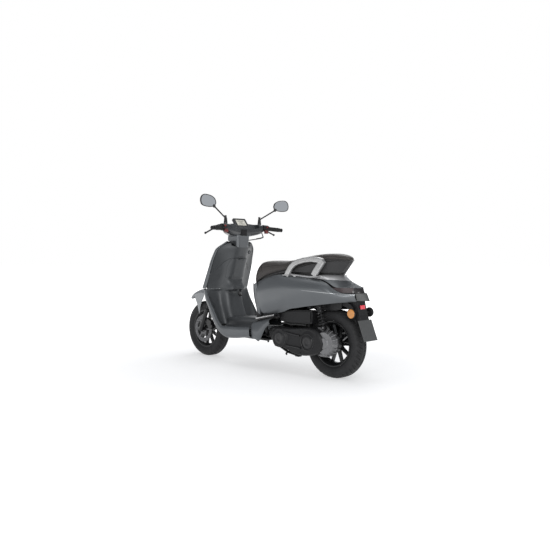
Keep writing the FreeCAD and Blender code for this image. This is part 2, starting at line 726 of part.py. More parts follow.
def bag_hook():
    """Folding hook under the ledge of the leg shield."""
    x, z = HOOK
    tongue = plate_xz([(x - 5, z + 4), (x + 5, z + 2), (x + 3, z - 24), (x - 16, z - 36), (x - 30, z - 24),
                       (x - 25, z - 20), (x - 15, z - 28), (x - 4, z - 20)], -10, 10)
    return cut(fuse(tongue, across(x, z, -14, 14, 6)), across(x, z, -20, 20, 3.05))


# ---------------------------------------------------------------- seat
SEAT = (
    # x, half width, bottom z, top z
    (84.0, 30.0, 622.0, 640.0),
    (74.0, 64.0, 620.0, 676.0),
    (56.0, 90.0, 622.0, 716.0),
    (30.0, 110.0, 632.0, 757.0),
    (0.0, 124.0, 648.0, 781.0),
    (-40.0, 135.0, 664.0, 796.0),
    (-100.0, 142.0, 690.0, 801.0),
    (-200.0, 146.0, 716.0, 800.0),
    (-280.0, 143.0, 732.0, 801.0),
    (-340.0, 135.0, 742.0, 808.0),
    (-420.0, 131.0, 758.0, 824.0),
    (-500.0, 129.0, 776.0, 838.0),
    (-600.0, 121.0, 794.0, 850.0),
    (-650.0, 106.0, 800.0, 852.0),
    (-690.0, 87.0, 803.0, 850.0),
    (-750.0, 56.0, 804.0, 840.0),
    (-785.0, 34.0, 805.0, 829.0),
    (-808.0, 14.0, 806.0, 818.0),
)
PAN = (
    # x, half width, bottom z
    (42.0, 88.0, 619.0),
    (30.0, 100.0, 622.0),
    (0.0, 116.0, 636.0),
    (-40.0, 128.0, 653.0),
    (-100.0, 136.0, 676.0),
    (-200.0, 140.0, 702.0),
    (-280.0, 137.0, 714.0),
    (-340.0, 129.0, 719.0),
    (-420.0, 124.0, 722.0),
    (-500.0, 120.0, 723.0),
    (-600.0, 104.0, 724.0),
    (-650.0, 80.0, 724.0),
    (-690.0, 52.0, 724.0),
    (-722.0, 28.0, 724.0),
    (-762.0, 20.0, 762.0),
    (-790.0, 14.0, 794.0),
)


def dome_wire(x, half, low, high):
    rise = high - low
    side = [(half * 0.94, low), (half, low + rise * 0.3), (half * 0.93, low + rise * 0.68),
            (half * 0.72, low + rise * 0.91), (half * 0.4, low + rise * 0.985)]
    points = [Vector(x, y, z) for y, z in side] + [Vector(x, 0, high)]
    points += [Vector(x, -y, z) for y, z in side[::-1]]
    return Part.Wire([spline(points), Part.LineSegment(points[-1], points[0]).toShape()])


def seat_cushion():
    return loft([dome_wire(*row) for row in SEAT])


def pan_wire(x, half, low, high, top_half):
    points = [(x, half * 0.94, low), (x, top_half, high), (x, -top_half, high), (x, -half * 0.94, low)]
    return polygon(points)


def seat_pan():
    """Moulded base of the seat with a hinge tongue at the front."""
    outer, inner = [], []
    for x, half, low in PAN:
        w, bottom, top = hermite(SEAT, x)
        outer.append(pan_wire(x, half, low, bottom - 2.2, min(w * 0.93, w - 4)))
    for x, half, low in PAN[2:-2]:
        w, bottom, top = hermite(SEAT, x)
        inner.append(pan_wire(x, half - 7, low - 3, bottom - 6, w - 16))
    base = loft(outer, True).cut(loft(inner, True))
    tongue = box(33, 45, -40, 40, 611, 621)
    barrel = across(SEAT_HINGE[0], SEAT_HINGE[1], -40, 40, 7)
    return cut(fuse(base, tongue, barrel), across(SEAT_HINGE[0], SEAT_HINGE[1], -70, 70, 4.05))


def seat_hinge():
    """Fixed bracket and pin that carry the front of the seat."""
    x, z = SEAT_HINGE
    pin = across(x, z, -58, 58, 4)
    outline = [(x - 6, z + 2.4), (x - 2.5, z + 6), (x + 2.5, z + 6), (x + 6, z + 2.4), (x + 5.5, z - 3),
               (x - 12, z - 28), (x - 30, z - 28)]
    ears = [plate_xz(outline, y, y + 5) for y in (-53, 48)]
    base = box(x - 44, x - 12, -53, 53, z - 32, z - 28)
    return fuse(pin, ears, base)


# ---------------------------------------------------------------- steering
def bar_path():
    left = [BAR_END, BAR_BEND, (306, 62, 1022)]
    return left + [(x, -y, z) for x, y, z in left[::-1]]


def bar_rods(grow=0.0):
    return bent_rod(bar_path(), BAR_R + grow, 50)


def bar_point(y, off=0.0):
    """A point on the straight outer run of the bar at a distance y from the centre plane."""
    a, b = vec(BAR_END), vec(BAR_BEND)
    t = (abs(y) - a.y) / (b.y - a.y)
    p = a + (b - a) * t
    return Vector(p.x, math.copysign(abs(y), y), p.z)


def bar_dir(side):
    d = (vec(BAR_END) - vec(BAR_BEND)).normalize()
    return Vector(d.x, d.y * side, d.z)


def along_bar(y0, y1, r):
    return rod(bar_point(y0), bar_point(y1), r)


def fork_crown():
    crown = Part.makeBox(54, 212, 15)
    crown.Placement = Placement(steer(580, -24, -106), Rotation(Vector(0, 1, 0), -CASTER_DEG))
    return crown


def steering_stem():
    """Steering stem, fork crown, upper fork tubes and handlebar, welded as one."""
    stem = rod(steer(580), steer(1128), 13)
    races = [rod(steer(a), steer(a + 6), 20.95) for a in (726, 938)]
    tubes = [rod(steer(338, 26, y), steer(595, 26, y), STANCHION_R) for y in (-FORK_HALF, FORK_HALF)]
    clamp = box(284, 328, -30, 30, 998, 1042)
    return fuse(stem, fork_crown(), races, tubes, bar_rods(), clamp)


COVER = (
    # y, x0, x1, z0, z1, corner
    (198, 264, 318, 1028, 1082, 20),
    (176, 263, 338, 1014, 1088, 26),
    (130, 266, 366, 1001, 1088, 30),
    (70, 280, 396, 990, 1092, 34),
    (0, 286, 412, 984, 1094, 38),
)


def cover_loft(inset=0.0):
    rows = list(COVER) + [(-row[0],) + row[1:] for row in COVER[-2::-1]]
    if inset:
        rows = rows[1:-1]
    return loft([loop_across(y, x0 + inset, x1 - inset, z0 + inset, z1 - inset, c - inset)
                 for y, x0, x1, z0, z1, c in rows])


NECK = ((880, 290, 430, 60, 24), (935, 287, 424, 63, 24), (962, 286, 420, 65, 24), (1000, 284, 414, 68, 26))


def neck_loft(inset=0.0):
    return loft([loop_at(z, x0 + inset, x1 - inset, h - inset, c - inset) for z, x0, x1, h, c in NECK])


def display_block(grow=0.0, back=0.0):
    half_y, half_l, thick = 66 + grow, 43 + grow, 17 + grow
    block = Part.makeBox(2 * half_l, 2 * half_y, thick + back, Vector(-half_l, -half_y, -thick))
    turn = math.degrees(math.atan2(68, 51))
    block.Placement = Placement(Vector(320, 0, 1100), Rotation(Vector(0, 1, 0), -turn))
    return block


def display_scoop(grow=0.0):
    """The space in front of the display that the cover leaves open to the rider."""
    scoop = Part.makeBox(170 + 2 * grow, 290 + 2 * grow, 120, Vector(-66 - grow, -145 - grow, -grow))
    turn = math.degrees(math.atan2(68, 51))
    scoop.Placement = Placement(Vector(320, 0, 1100), Rotation(Vector(0, 1, 0), -turn))
    return scoop


def handlebar_cover():
    """Hollow cover round the bar and stem, with its neck and two mirror bosses."""
    shell = fuse(cover_loft(), neck_loft()).cut(display_scoop())
    hollow = fuse(cover_loft(3.0), neck_loft(3.0), box(300, 410, -55, 55, 900, 990))
    hollow = hollow.cut(display_scoop(3.0))
    walls = shell.cut(hollow)
    bosses = [rod((298, y, 1078), (298, y, 1097), 15) for y in (-179, 179)]
    whole = fuse(walls, bosses)
    below = rod(steer(COLLAR_S - 200), steer(COLLAR_S), 160)
    lamp = fuse(rod((380, 0, 1046), (425, 0, 1046), 43), rod((417.8, 0, 1046), (440, 0, 1046), 45.2))
    tools = [bar_rods(0.6), rod(steer(880), steer(1135), 14), box(282, 330, -32, 32, 996, 1044), lamp,
             display_block(0.6, 60), below]
    whole = cut(whole, *tools)
    return max(whole.Solids, key=lambda s: s.Volume)


def headlamp():
    """Round headlamp: bucket, reflector bowl and lens."""
    bucket = pipe((385, 0, 1046), (418, 0, 1046), 42.4, 39.5)
    back = rod((382, 0, 1046), (385, 0, 1046), 42.4)
    rim = pipe((418, 0, 1046), (424, 0, 1046), 45, 39.5)
    return fuse(bucket, back, rim)


def headlamp_lens():
    cap = Part.makeSphere(90, Vector(334, 0, 1046)).common(rod((414, 0, 1046), (430, 0, 1046), 39.2))
    return cap.cut(Part.makeSphere(87, Vector(334, 0, 1046)))


def display_unit():
    block = display_block()
    edges = [e for e in block.Edges if abs(e.Length - 17) < 0.1]
    return block.makeFillet(9, edges)


def switch_housing(side):
    """Clamp and switch body on the bar, with the perch ears and pin of the brake lever."""
    body = along_bar(199 * side, 243 * side, 27)
    p = vec((bar_point(226 * side).x + 38, 226 * side, bar_point(226).z - 4))
    arm = box(p.x - 42, p.x + 4, p.y - 12, p.y + 12, p.z - 11, p.z + 11)
    ears = arm.fuse(Part.makeCylinder(12, 22, Vector(p.x + 4, p.y, p.z - 11)))
    slot = box(p.x - 12, p.x + 40, p.y - 40, p.y + 40, p.z - 6.3, p.z + 6.3)
    pin = Part.makeCylinder(4, 22, Vector(p.x + 4, p.y, p.z - 11))
    whole = fuse(body.fuse(ears).cut(slot), pin)
    b = bar_point(221 * side)
    facing = Vector(-0.94, 0.1 * side, 0.32).normalize()
    pocket = rod(b + facing * 14, b + facing * 44, 8.05)
    cover = fuse(cover_loft(), *[rod((298, y, 1078), (298, y, 1097), 15) for y in (-179, 179)])
    return cut(whole, along_bar(180 * side, 270 * side, BAR_R + 0.05), pocket, cover)


def button_solid(y):
    b = bar_point(y)
    facing = Vector(-0.94, 0.1 * math.copysign(1, y), 0.32).normalize()
    return rod(b + facing * 18.6, b + facing * 31.0, 8)


def horn_button():
    return button_solid(221)


def start_button():
    return button_solid(-221)


def lever_pivot(side):
    p = bar_point(226 * side)
    return Vector(p.x + 42, 226 * side, p.z - 4)


def brake_lever(side):
    """Curved lever with a ball end, swinging on the perch pin."""
    p = lever_pivot(side)
    path = [(p.x, p.y, p.z), (p.x + 12, p.y + 40 * side, p.z - 4), (p.x + 2, p.y + 84 * side, p.z - 16),
            (p.x - 2, p.y + 124 * side, p.z - 24)]
    blade = bent_rod(path, 5.5, 30)
    ball = Part.makeSphere(8.5, vec(path[-1]))
    eye = Part.makeCylinder(11, 12, Vector(p.x, p.y, p.z - 6))
    whole = fuse(blade, ball, eye)
    keep = box(p.x - 30, p.x + 60, p.y - 200, p.y + 200, p.z - 60, p.z + 6)
    near = box(p.x - 16, p.x + 16, p.y - 16, p.y + 16, p.z - 60, p.z - 6)
    return cut(whole.common(keep).cut(near), Part.makeCylinder(4.05, 40, Vector(p.x, p.y, p.z - 20)))


def grip_shape(side, r_in):
    body = along_bar(246 * side, 352 * side, 16)
    flange = along_bar(246 * side, 251 * side, 22)
    d = bar_dir(side)
    start = bar_point(256 * side)
    ribs = [rod(start + d * (i * 9.0), start + d * (i * 9.0 + 4.0), 17) for i in range(10)]
    return fuse(body, flange, ribs).cut(along_bar(240 * side, 370 * side, r_in))


def grip_left():
    return grip_shape(1, BAR_R + 0.04)


def throttle_grip():
    return grip_shape(-1, BAR_R + 0.05)


def bar_ends():
    """Turned weights on the ends of the bar."""
    out = []
    for side in (1, -1):
        d = bar_dir(side)
        p = Vector(BAR_END[0], BAR_END[1] * side, BAR_END[2])
        out.append(fuse(rod(p + d * 0.2, p + d * 8, 15), rod(p + d * 8, p + d * 12, 11)))
    return out


def mirror_stem(side):
    """Post and arm of one mirror."""
    x, y, z = MIRROR_STEM
    y = y * side
    post = fuse(rod((x, y, 1097.4), (x, y, 1130), 10.5), rod((x, y, 1130), (x + 1, y + side, 1150), 9))
    ball = vec((MIRROR_BALL[0], MIRROR_BALL[1] * side, MIRROR_BALL[2]))
    arm = rod((x, y, 1128), ball, 5.5)
    return fuse(post, arm, Part.makeSphere(9, ball))


def mirror_point(u, v, offset, side):
    """A point of the mirror's own plane, turned inwards, tipped and set on its side of the bar."""
    tip, turn = math.radians(5), math.radians(5.5)
    across_plane = u * math.cos(tip) - v * math.sin(tip)
    up = u * math.sin(tip) + v * math.cos(tip)
    x = -offset * math.cos(turn) - across_plane * math.sin(turn)
    y = -offset * math.sin(turn) + across_plane * math.cos(turn)
    cx, cy, cz = MIRROR_CENTRE
    return Vector(cx + x, (cy + y) * side, cz + up)


def mirror_outline(scale, offset, side):
    """Rounded outline, square at the outer end and narrower at the inner one."""
    points = [(-79, -4), (-64, 26), (-30, 42), (8, 46), (48, 44), (72, 29), (82, 4), (78, -24),
              (58, -42), (10, -46), (-40, -39), (-69, -24)]
    curve = Part.BSplineCurve()
    curve.interpolate([mirror_point(u * scale, v * scale, offset, side) for u, v in points],
                      PeriodicFlag=True)
    return Part.Wire([curve.toShape()])


def mirror_head(side):
    """Domed mirror shell with a recess for the glass and a socket for the ball."""
    shell = loft([mirror_outline(1.0, 0, side), mirror_outline(1.0, -7, side),
                  mirror_outline(0.9, -17, side), mirror_outline(0.62, -24, side)])
    recess = loft([mirror_outline(0.93, -2.5, side), mirror_outline(0.93, 1, side)])
    body = shell.cut(recess)
    ball = vec((MIRROR_BALL[0], MIRROR_BALL[1] * side, MIRROR_BALL[2]))
    socket = Part.makeSphere(9.06, ball)
    arm = rod(vec((MIRROR_STEM[0], MIRROR_STEM[1] * side, 1128)), ball, 9)
    boss = rod(ball + Vector(0, -4 * side, -2), ball + Vector(-2, 24 * side, 16), 12)
    return cut(fuse(body, boss.cut(recess)), socket, arm)


def mirror_glass(side):
    return loft([mirror_outline(0.915, -2.4, side), mirror_outline(0.915, -0.4, side)])


def fender_row(angle, half, r, drop):
    a = math.radians(angle)
    row = []
    for f, d in ((-1, 1.0), (-0.9, 0.62), (-0.65, 0.26), (-0.33, 0.06), (0, 0), (0.33, 0.06), (0.65, 0.26),
                 (0.9, 0.62), (1, 1.0)):
        rr = r - drop * d
        row.append((FRONT_AXLE_X + rr * math.cos(a), half * f, FRONT_TYRE_R + rr * math.sin(a)))
    return row


def front_fender():
    """Fender that turns with the fork, with a pointed beak and a pointed flap each side."""
    stations = ((45.6, 7, 331, 3), (49, 26, 331, 9), (56, 44, 331, 17), (66, 57, 332, 26), (80, 66, 333, 34),
                (95, 68, 333, 36), (108, 67, 332, 34), (117, 62, 330, 28))
    rows = [fender_row(*line) for line in stations]
    normals = []
    for line in stations:
        a = math.radians(line[0])
        normals.append((math.sin(a), 0, -math.cos(a)))
    skin = strip(rows, normals, 3.0)
    flap = plate_xz([(700, 527), (760, 530), (838, 509), (822, 470), (796, 420), (771, 349), (758, 410),
                     (738, 455), (712, 495)], 66.5, 69.5)
    foot = steer(598, 36)
    centre = Vector(FRONT_AXLE_X, 0, FRONT_TYRE_R)
    inward = (centre - foot).normalize()
    depth = (centre - foot).Length - 331.5
    stay = rod(foot, foot + inward * depth, 12)
    return fuse(skin, both(flap), stay).cut(fork_crown())


def brake_cable():
    """Brake hose from the right perch into the neck of the cover."""
    start = lever_pivot(-1) + Vector(-6, 16, -11.4)
    path = [start, (286, -205, 1000), (250, -178, 984), (238, -130, 974), (272, -90, 966), (318, -69.5, 960)]
    return bent_rod(path, 3.2, 30)


# ---------------------------------------------------------------- fork and front wheel
def fork_lowers():
    """Sliding fork legs joined by the axle, with lugs for the caliper."""
    legs = []
    for y in (-FORK_HALF, FORK_HALF):
        legs.append(rod(steer(226, 26, y), steer(424, 26, y), FORK_LOWER_R))
    axle = across(FRONT_AXLE_X, FRONT_TYRE_R, -96, 96, 7.5)
    x, z = FRONT_AXLE_X, FRONT_TYRE_R
    spacers = [ring_across(x, z, y0, y1, 14, 7) for y0, y1 in ((-70, -50.5), (50.5, 70))]
    lug = plate_xz([(606, 300), (664, 322), (664, 282), (632, 262), (606, 268)], 74, 82)
    whole = fuse(legs, axle, spacers, lug)
    bores = [rod(steer(262, 26, y), steer(430, 26, y), STANCHION_R + 0.05) for y in (-FORK_HALF, FORK_HALF)]
    return cut(whole, bores)


def fork_seals():
    """Dust caps on top of the sliding legs."""
    inside = STANCHION_R + 0.3
    return [pipe(steer(424, 26, y), steer(434, 26, y), 20, inside) for y in (-FORK_HALF, FORK_HALF)]


def front_caliper():
    """Two-sided brake caliper straddling the disc behind the fork leg."""
    outline = [(598, 252), (606, 300), (640, 316), (664, 306), (668, 276), (650, 240), (622, 232)]
    body = plate_xz(outline, 46, 73.9)
    slot = across(FRONT_AXLE_X, FRONT_TYRE_R, 55.5, 63.5, DISC_R + 3)
    hub_space = across(FRONT_AXLE_X, FRONT_TYRE_R, 40, 80, 62)
    rim_space = across(FRONT_AXLE_X, FRONT_TYRE_R, 40, 55.6, 100)
    return cut(body, slot, hub_space, rim_space)


def front_disc():
    """Drilled brake disc with a carrier bolted to the hub."""
    x, z = FRONT_AXLE_X, FRONT_TYRE_R
    band_ring = ring_across(x, z, 57.5, 61.5, DISC_R, 78)
    holes = []
    for k, r in enumerate((84, 94, 104)):
        hole = across(x + r, z, 55, 64, 3.2)
        holes += around(hole, (x, 0, z), 18, (0, 1, 0), k * 20.0 / 3)
    carrier = ring_across(x, z, 57.5, 61.5, 46, 30)
    arms = around(box(x + 40, x + 82, 57.5, 61.5, z - 7, z + 7), (x, 0, z), 6)
    return cut(fuse(band_ring, carrier, arms), holes)


def rim_profile(half):
    """Half section of a cast rim barrel, as (radius, along) points."""
    left = [(150, -half - 2), (157, -half - 2), (157, -half + 3), (149, -half + 6), (138, -half + 20)]
    right = [(r, -a) for r, a in left[::-1]]
    inner = [(144, half - 3), (131, half - 22), (131, -half + 22), (144, -half + 3)]
    return left + right + inner


def spoke_set(x, z, count, y0, y1, start):
    """Slim tapered spokes from hub to rim."""
    outline = [(x + 26, z - 11), (x + 134, z - 7), (x + 134, z + 7), (x + 26, z + 11)]
    return around(plate_xz(outline, y0, y1), (x, 0, z), count, (0, 1, 0), start)


def front_rim():
    x, z = FRONT_AXLE_X, FRONT_TYRE_R
    barrel = revolve(rim_profile(38), (x, 0, z))
    hub = across(x, z, -50, 50, 32)
    flange = across(x, z, 50, 57.2, 44)
    spokes = spoke_set(x, z, 10, -10, 14, 9)
    return cut(fuse(barrel, hub, flange, spokes), across(x, z, -60, 60, 14.4), across(x, z, 50, 60, 15))


def front_bearings():
    """Wheel bearings between the hub and the axle."""
    x, z = FRONT_AXLE_X, FRONT_TYRE_R
    return [ring_across(x, z, y0, y1, 14.3, 7.55) for y0, y1 in ((-49.5, -38), (38, 49.5))]


def tyre(x, radius, half_width):
    """Hollow tyre with beads, rounded shoulders and a nearly flat crown."""
    w, r = half_width, radius
    outer = [(158, -35), (158, -42), (172, -w + 6), (192, -w), (r - 18, -w + 5), (r - 7, -w + 17),
             (r, -25)]
    inner = [(165, 34), (172, w - 13), (192, w - 8), (r - 26, w - 12), (r - 9, 26)]
    profile = outer + [(q, -a) for q, a in outer[::-1]] + inner + [(q, -a) for q, a in inner[::-1]]
    return revolve(profile, (x, 0, radius))


def front_tyre():
    return tyre(FRONT_AXLE_X, FRONT_TYRE_R, FRONT_TYRE_W / 2)


def rear_tyre():
    return tyre(REAR_AXLE_X, REAR_TYRE_R, REAR_TYRE_W / 2)


# ---------------------------------------------------------------- swinging engine unit
def engine_case():
    """Crankcase, cylinder and swing arm with the rear stub axle."""
    px, pz = SWING_PIVOT
    lug = across(px, pz, -60, 60, 24)
    block = plate_xz([(-196, 205), (-182, 318), (-215, 340), (-300, 352), (-400, 330), (-400, 190),
                      (-360, 168), (-240, 178)], -68, 62)
    cylinder = plate_xz([(-262, 340), (-278, 424), (-352, 424), (-372, 340)], -50, 40)
    fins = [plate_xz([(-254, z), (-254, z + 5), (-382, z + 5), (-382, z)], -58, 46)
            for z in (356, 370, 384, 398)]
    arm = plate_xz([(-216, 236), (-204, 312), (-400, 326), (-600, 312), (-690, 278), (-700, 236),
                    (-684, 196), (-640, 168), (-400, 168), (-250, 190)], 66, 92)
    web = plate_xz([(-240, 205), (-240, 320), (-396, 326), (-396, 186)], 61, 67)
    axle = across(REAR_AXLE_X, REAR_TYRE_R, -92, 92, 9)
    stand_lug = plate_xz([(-196, 240), (-196, 205), (-175, 186), (-142, 184), (-138, 204), (-170, 240)],
                         -40, 40)
    whole = fuse(lug, block, cylinder, fins, arm, web, axle, stand_lug)
    pivot = across(px, pz, -70, 70, 8.05)
    return cut(whole, pivot, across(STAND_PIVOT[0], STAND_PIVOT[1], -45, 45, 6))


CVT = [(-157, 306), (-180, 322), (-275, 331), (-431, 336), (-575, 342), (-622, 328), (-658, 294), (-673, 248),
       (-664, 210), (-634, 182), (-598, 164), (-560, 156), (-449, 146), (-372, 162), (-294, 185), (-197, 221),
       (-160, 262)]


def cvt_cover():
    """Long transmission cover on the left of the engine, with raised pulley bulges."""
    loop = [Vector(x, 0, z) for x, z in CVT]
    wires = []
    for y, scale in ((92.4, 1.0), (140, 1.0), (154, 0.975), (162, 0.93)):
        curve = Part.BSplineCurve()
        cx, cz = -430.0, 246.0
        tall = lerp(1, scale, 1.6)
        curve.interpolate([Vector(cx + (p.x - cx) * scale, y, cz + (p.z - cz) * tall) for p in loop],
                          PeriodicFlag=True)
        wires.append(Part.Wire([curve.toShape()]))
    body = loft(wires)
    front = Part.makeCone(84, 66, 14, Vector(-276, 158, 254), Vector(0, 1, 0))
    rear = Part.makeCone(86, 58, 12, Vector(-546, 158, 248), Vector(0, 1, 0))
    trim = body.common(box(-720, -120, 0, 200, 120, 360))
    screws = [bolt((x, 161.8, z), (0, 1, 0), 5, 3.5, 4) for x, z in
              ((-186, 296), (-360, 316), (-470, 318), (-618, 304), (-470, 166), (-350, 184))]
    return fuse(trim, front.common(box(-720, -120, 100, 172, 190, 322)), rear, screws)


def gear_case():
    """Cast final drive case at the rear wheel, with a ribbed drum and the shock foot."""
    outline = [(-590, 350), (-640, 346), (-690, 336), (-734, 312), (-760, 276), (-764, 236), (-748, 198),
               (-716, 168), (-672, 154), (-620, 152), (-590, 160)]
    body = plate_xz(outline, 92.3, 112)
    centre = (-672.0, 250.0)
    drum = Part.makeCone(88, 74, 34, Vector(centre[0], 112, centre[1]), Vector(0, 1, 0))
    cap = Part.makeCone(40, 34, 8, Vector(centre[0], 146, centre[1]), Vector(0, 1, 0))
    ribs = []
    for i in range(9):
        a = math.radians(-80 + i * 20)
        c = Vector(centre[0], 0, centre[1])
        way = Vector(-math.cos(a), 0, math.sin(a))
        ribs.append(rod(c + way * 70 + Vector(0, 146, 0), c + way * 96 + Vector(0, 112, 0), 4))
    lug = plate_xz([(-682, 332), (-674, 354), (-650, 368), (-628, 354), (-620, 340)], 92.3, 104)
    pin = across(SHOCK_FOOT_EYE[0], SHOCK_FOOT_EYE[1], 92.5, 130, 6)
    space = plate_xz(CVT, 91, 200)
    whole = fuse(body, drum, cap, ribs).cut(space)
    whole = cut(whole, rod((-650, 100, 352), (-650, 200, 352), 20))
    return cut(fuse(whole, lug, pin), cvt_cover(), across(REAR_AXLE_X, REAR_TYRE_R, 80, 100, 10))



def air_filter_box():
    """Air box above the transmission."""
    outline = [(-236, 430), (-262, 440), (-329, 449), (-440, 459), (-552, 463), (-558, 420), (-552, 372),
               (-440, 362), (-329, 360), (-250, 372)]
    body = plate_xz(outline, 66, 130)
    lid = plate_xz([(-256, 424), (-329, 440), (-440, 450), (-540, 453), (-544, 382), (-440, 372), (-329, 370),
                    (-262, 380)], 130, 137)
    legs = [box(x, x + 24, 67, 91, 322, 366) for x in (-330, -500)]
    inner = plate_xz([(-246, 424), (-329, 441), (-545, 455), (-550, 420), (-545, 378), (-329, 367),
                      (-256, 378)], 70, 127)
    return cut(fuse(body, lid, legs).cut(inner), engine_case())


def exhaust():
    """Header pipe and muffler with its heat shield on the right side."""
    pipe_path = [(-300, -69, 246), (-300, -108, 214), (-380, -122, 196), (-470, -122, 214)]
    header = bent_rod(pipe_path, 14, 40)
    header = header.cut(bent_rod(pipe_path, 11.5, 40))
    muffler = rod((-462, -124, 212), (-800, -128, 292), 46)
    cap = rod((-800, -128, 292), (-826, -128.3, 298), 34)
    tail = rod((-820, -128, 296), (-842, -128.5, 302), 15)
    shield = rod((-520, -130, 228), (-760, -134, 284), 50).common(box(-900, -400, -220, -134, 150, 400))
    hanger = box(-420, -392, -110, -68.2, 232, 262)
    link = rod((-406, -104, 247), (-476, -112, 232), 9)
    whole = fuse(header, muffler, cap, tail, shield, hanger, link)
    inner = rod((-474, -124, 215), (-790, -128, 290), 43)
    return cut(whole, inner, engine_case())


def center_stand():
    """Folding centre stand: two legs, a cross tube, feet and a foot tang."""
    px, pz = STAND_PIVOT
    legs = []
    for y in (-104, 104):
        path = [(px, y * 0.52, pz), (px - 40, y * 0.7, pz - 20), (-300, y, 150), (-392, y, 136)]
        legs.append(bent_rod(path, 9, 30))
        legs.append(box(-420, -384, y - 15, y + 15, 128, 137))
    pivot = across(px, pz, -62, 62, 5.94)
    brace = across(-296, 150, -104, 104, 7)
    tang = bent_rod([(-300, 100, 150), (-318, 142, 146), (-346, 166, 144)], 6, 20)
    return fuse(legs, pivot, brace, tang)


def footrest(side):
    """Folded passenger footrest that swings out from its front pivot."""
    px, pz = PEG_PIVOT
    slope = Vector(-180, 0, 38).normalize()
    start, end = Vector(px, 0, pz), Vector(px, 0, pz) + slope * 184
    body = prism([start + Vector(12, 0, -9), start + Vector(12, 0, 9), end + Vector(0, 0, 8),
                  end + Vector(4, 0, -8)], (0, 22, 0))
    body.translate(Vector(0, 166, 0))
    grooves = []
    for i in range(9):
        c = start + slope * (30 + i * 16.0) + Vector(0, 188, 0)
        grooves.append(box(c.x - 3, c.x + 3, 186, 190, c.z - 12, c.z + 12))
    hinge = Part.makeCylinder(7, 26, Vector(px, 177, pz - 13))
    whole = cut(fuse(body, hinge), grooves, Part.makeCylinder(4.05, 60, Vector(px, 177, pz - 30)))
    return whole if side > 0 else mirrored(whole)


def footrest_pins():
    """Hinge pins of the footrests with their brackets."""
    px, pz = PEG_PIVOT
    pin = Part.makeCylinder(4, 40, Vector(px, 177, pz - 20))
    tabs = [box(px - 8, px + 8, 158.2, 183, z, z + 4) for z in (pz - 20, pz + 16)]
    return fuse(pin, tabs)


def rear_rim():
    x, z = REAR_AXLE_X, REAR_TYRE_R
    barrel = revolve(rim_profile(42), (x, 0, z))
    hub = across(x, z, -58, 58, 34)
    drum = across(x, z, 20, 56, 66)
    spokes = spoke_set(x, z, 10, -30, -6, 0)
    inner = across(x, z, 24, 60, 60).cut(across(x, z, 20, 60, 34.01))
    return cut(fuse(barrel, hub, drum, spokes), inner, across(x, z, -60, 60, 14.4))


def rear_bearings():
    x, z = REAR_AXLE_X, REAR_TYRE_R
    return [ring_across(x, z, y0, y1, 14.3, 9.05) for y0, y1 in ((-57.5, -44), (44, 57.5))]


# ---------------------------------------------------------------- rear shock
def shock_line():
    top = Vector(SHOCK_TOP[0], SHOCK_Y, SHOCK_TOP[1] + 15)
    foot = Vector(SHOCK_FOOT_EYE[0], SHOCK_Y, SHOCK_FOOT_EYE[1])
    return top, foot, (foot - top).normalize()


def shock_body():
    """Upper half of the shock: eye, tube and spring seat."""
    top, foot, d = shock_line()
    eye = across(top.x, top.z, SHOCK_Y - 8, SHOCK_Y + 8, 14)
    tube = rod(top + d * 21, top + d * 132, 19)
    neck = rod(top + d * 7, top + d * 40, 10)
    seat = rod(top + d * 26, top + d * 33, 32)
    bore = rod(top + d * 48, top + d * 140, 6.05)
    return cut(fuse(tube, seat, neck, eye), bore, across(top.x, top.z, 90, 142, 6.05))


def shock_rod():
    """Lower half of the shock: rod, spring seat and eye."""
    top, foot, d = shock_line()
    shaft = rod(top + d * 96, foot - d * 10, 6)
    eye = across(foot.x, foot.z, SHOCK_Y - 8, SHOCK_Y + 8, 16)
    seat = rod(foot - d * 28, foot - d * 21, 32)
    return cut(fuse(shaft, eye, seat), across(foot.x, foot.z, 100, 140, 8))


def shock_spring():
    """Coil spring between the two seats."""
    top, foot, d = shock_line()
    length = (foot - d * 28 - (top + d * 33)).Length
    wire_r, coil_r, turns = 3.6, 26.0, 7.5
    pitch = (length - 2 * wire_r - 0.4) / turns
    helix = Part.makeHelix(pitch, pitch * turns, coil_r)
    start = helix.Vertexes[0].Point
    profile = Part.Wire([Part.makeCircle(wire_r, start, Vector(0, 1, 0))])
    coil = Part.Wire(helix.Edges).makePipeShell([profile], True, True)
    coil.Placement = Placement(top + d * (33 + wire_r + 0.2), Rotation(Vector(0, 0, 1), d))
    return coil


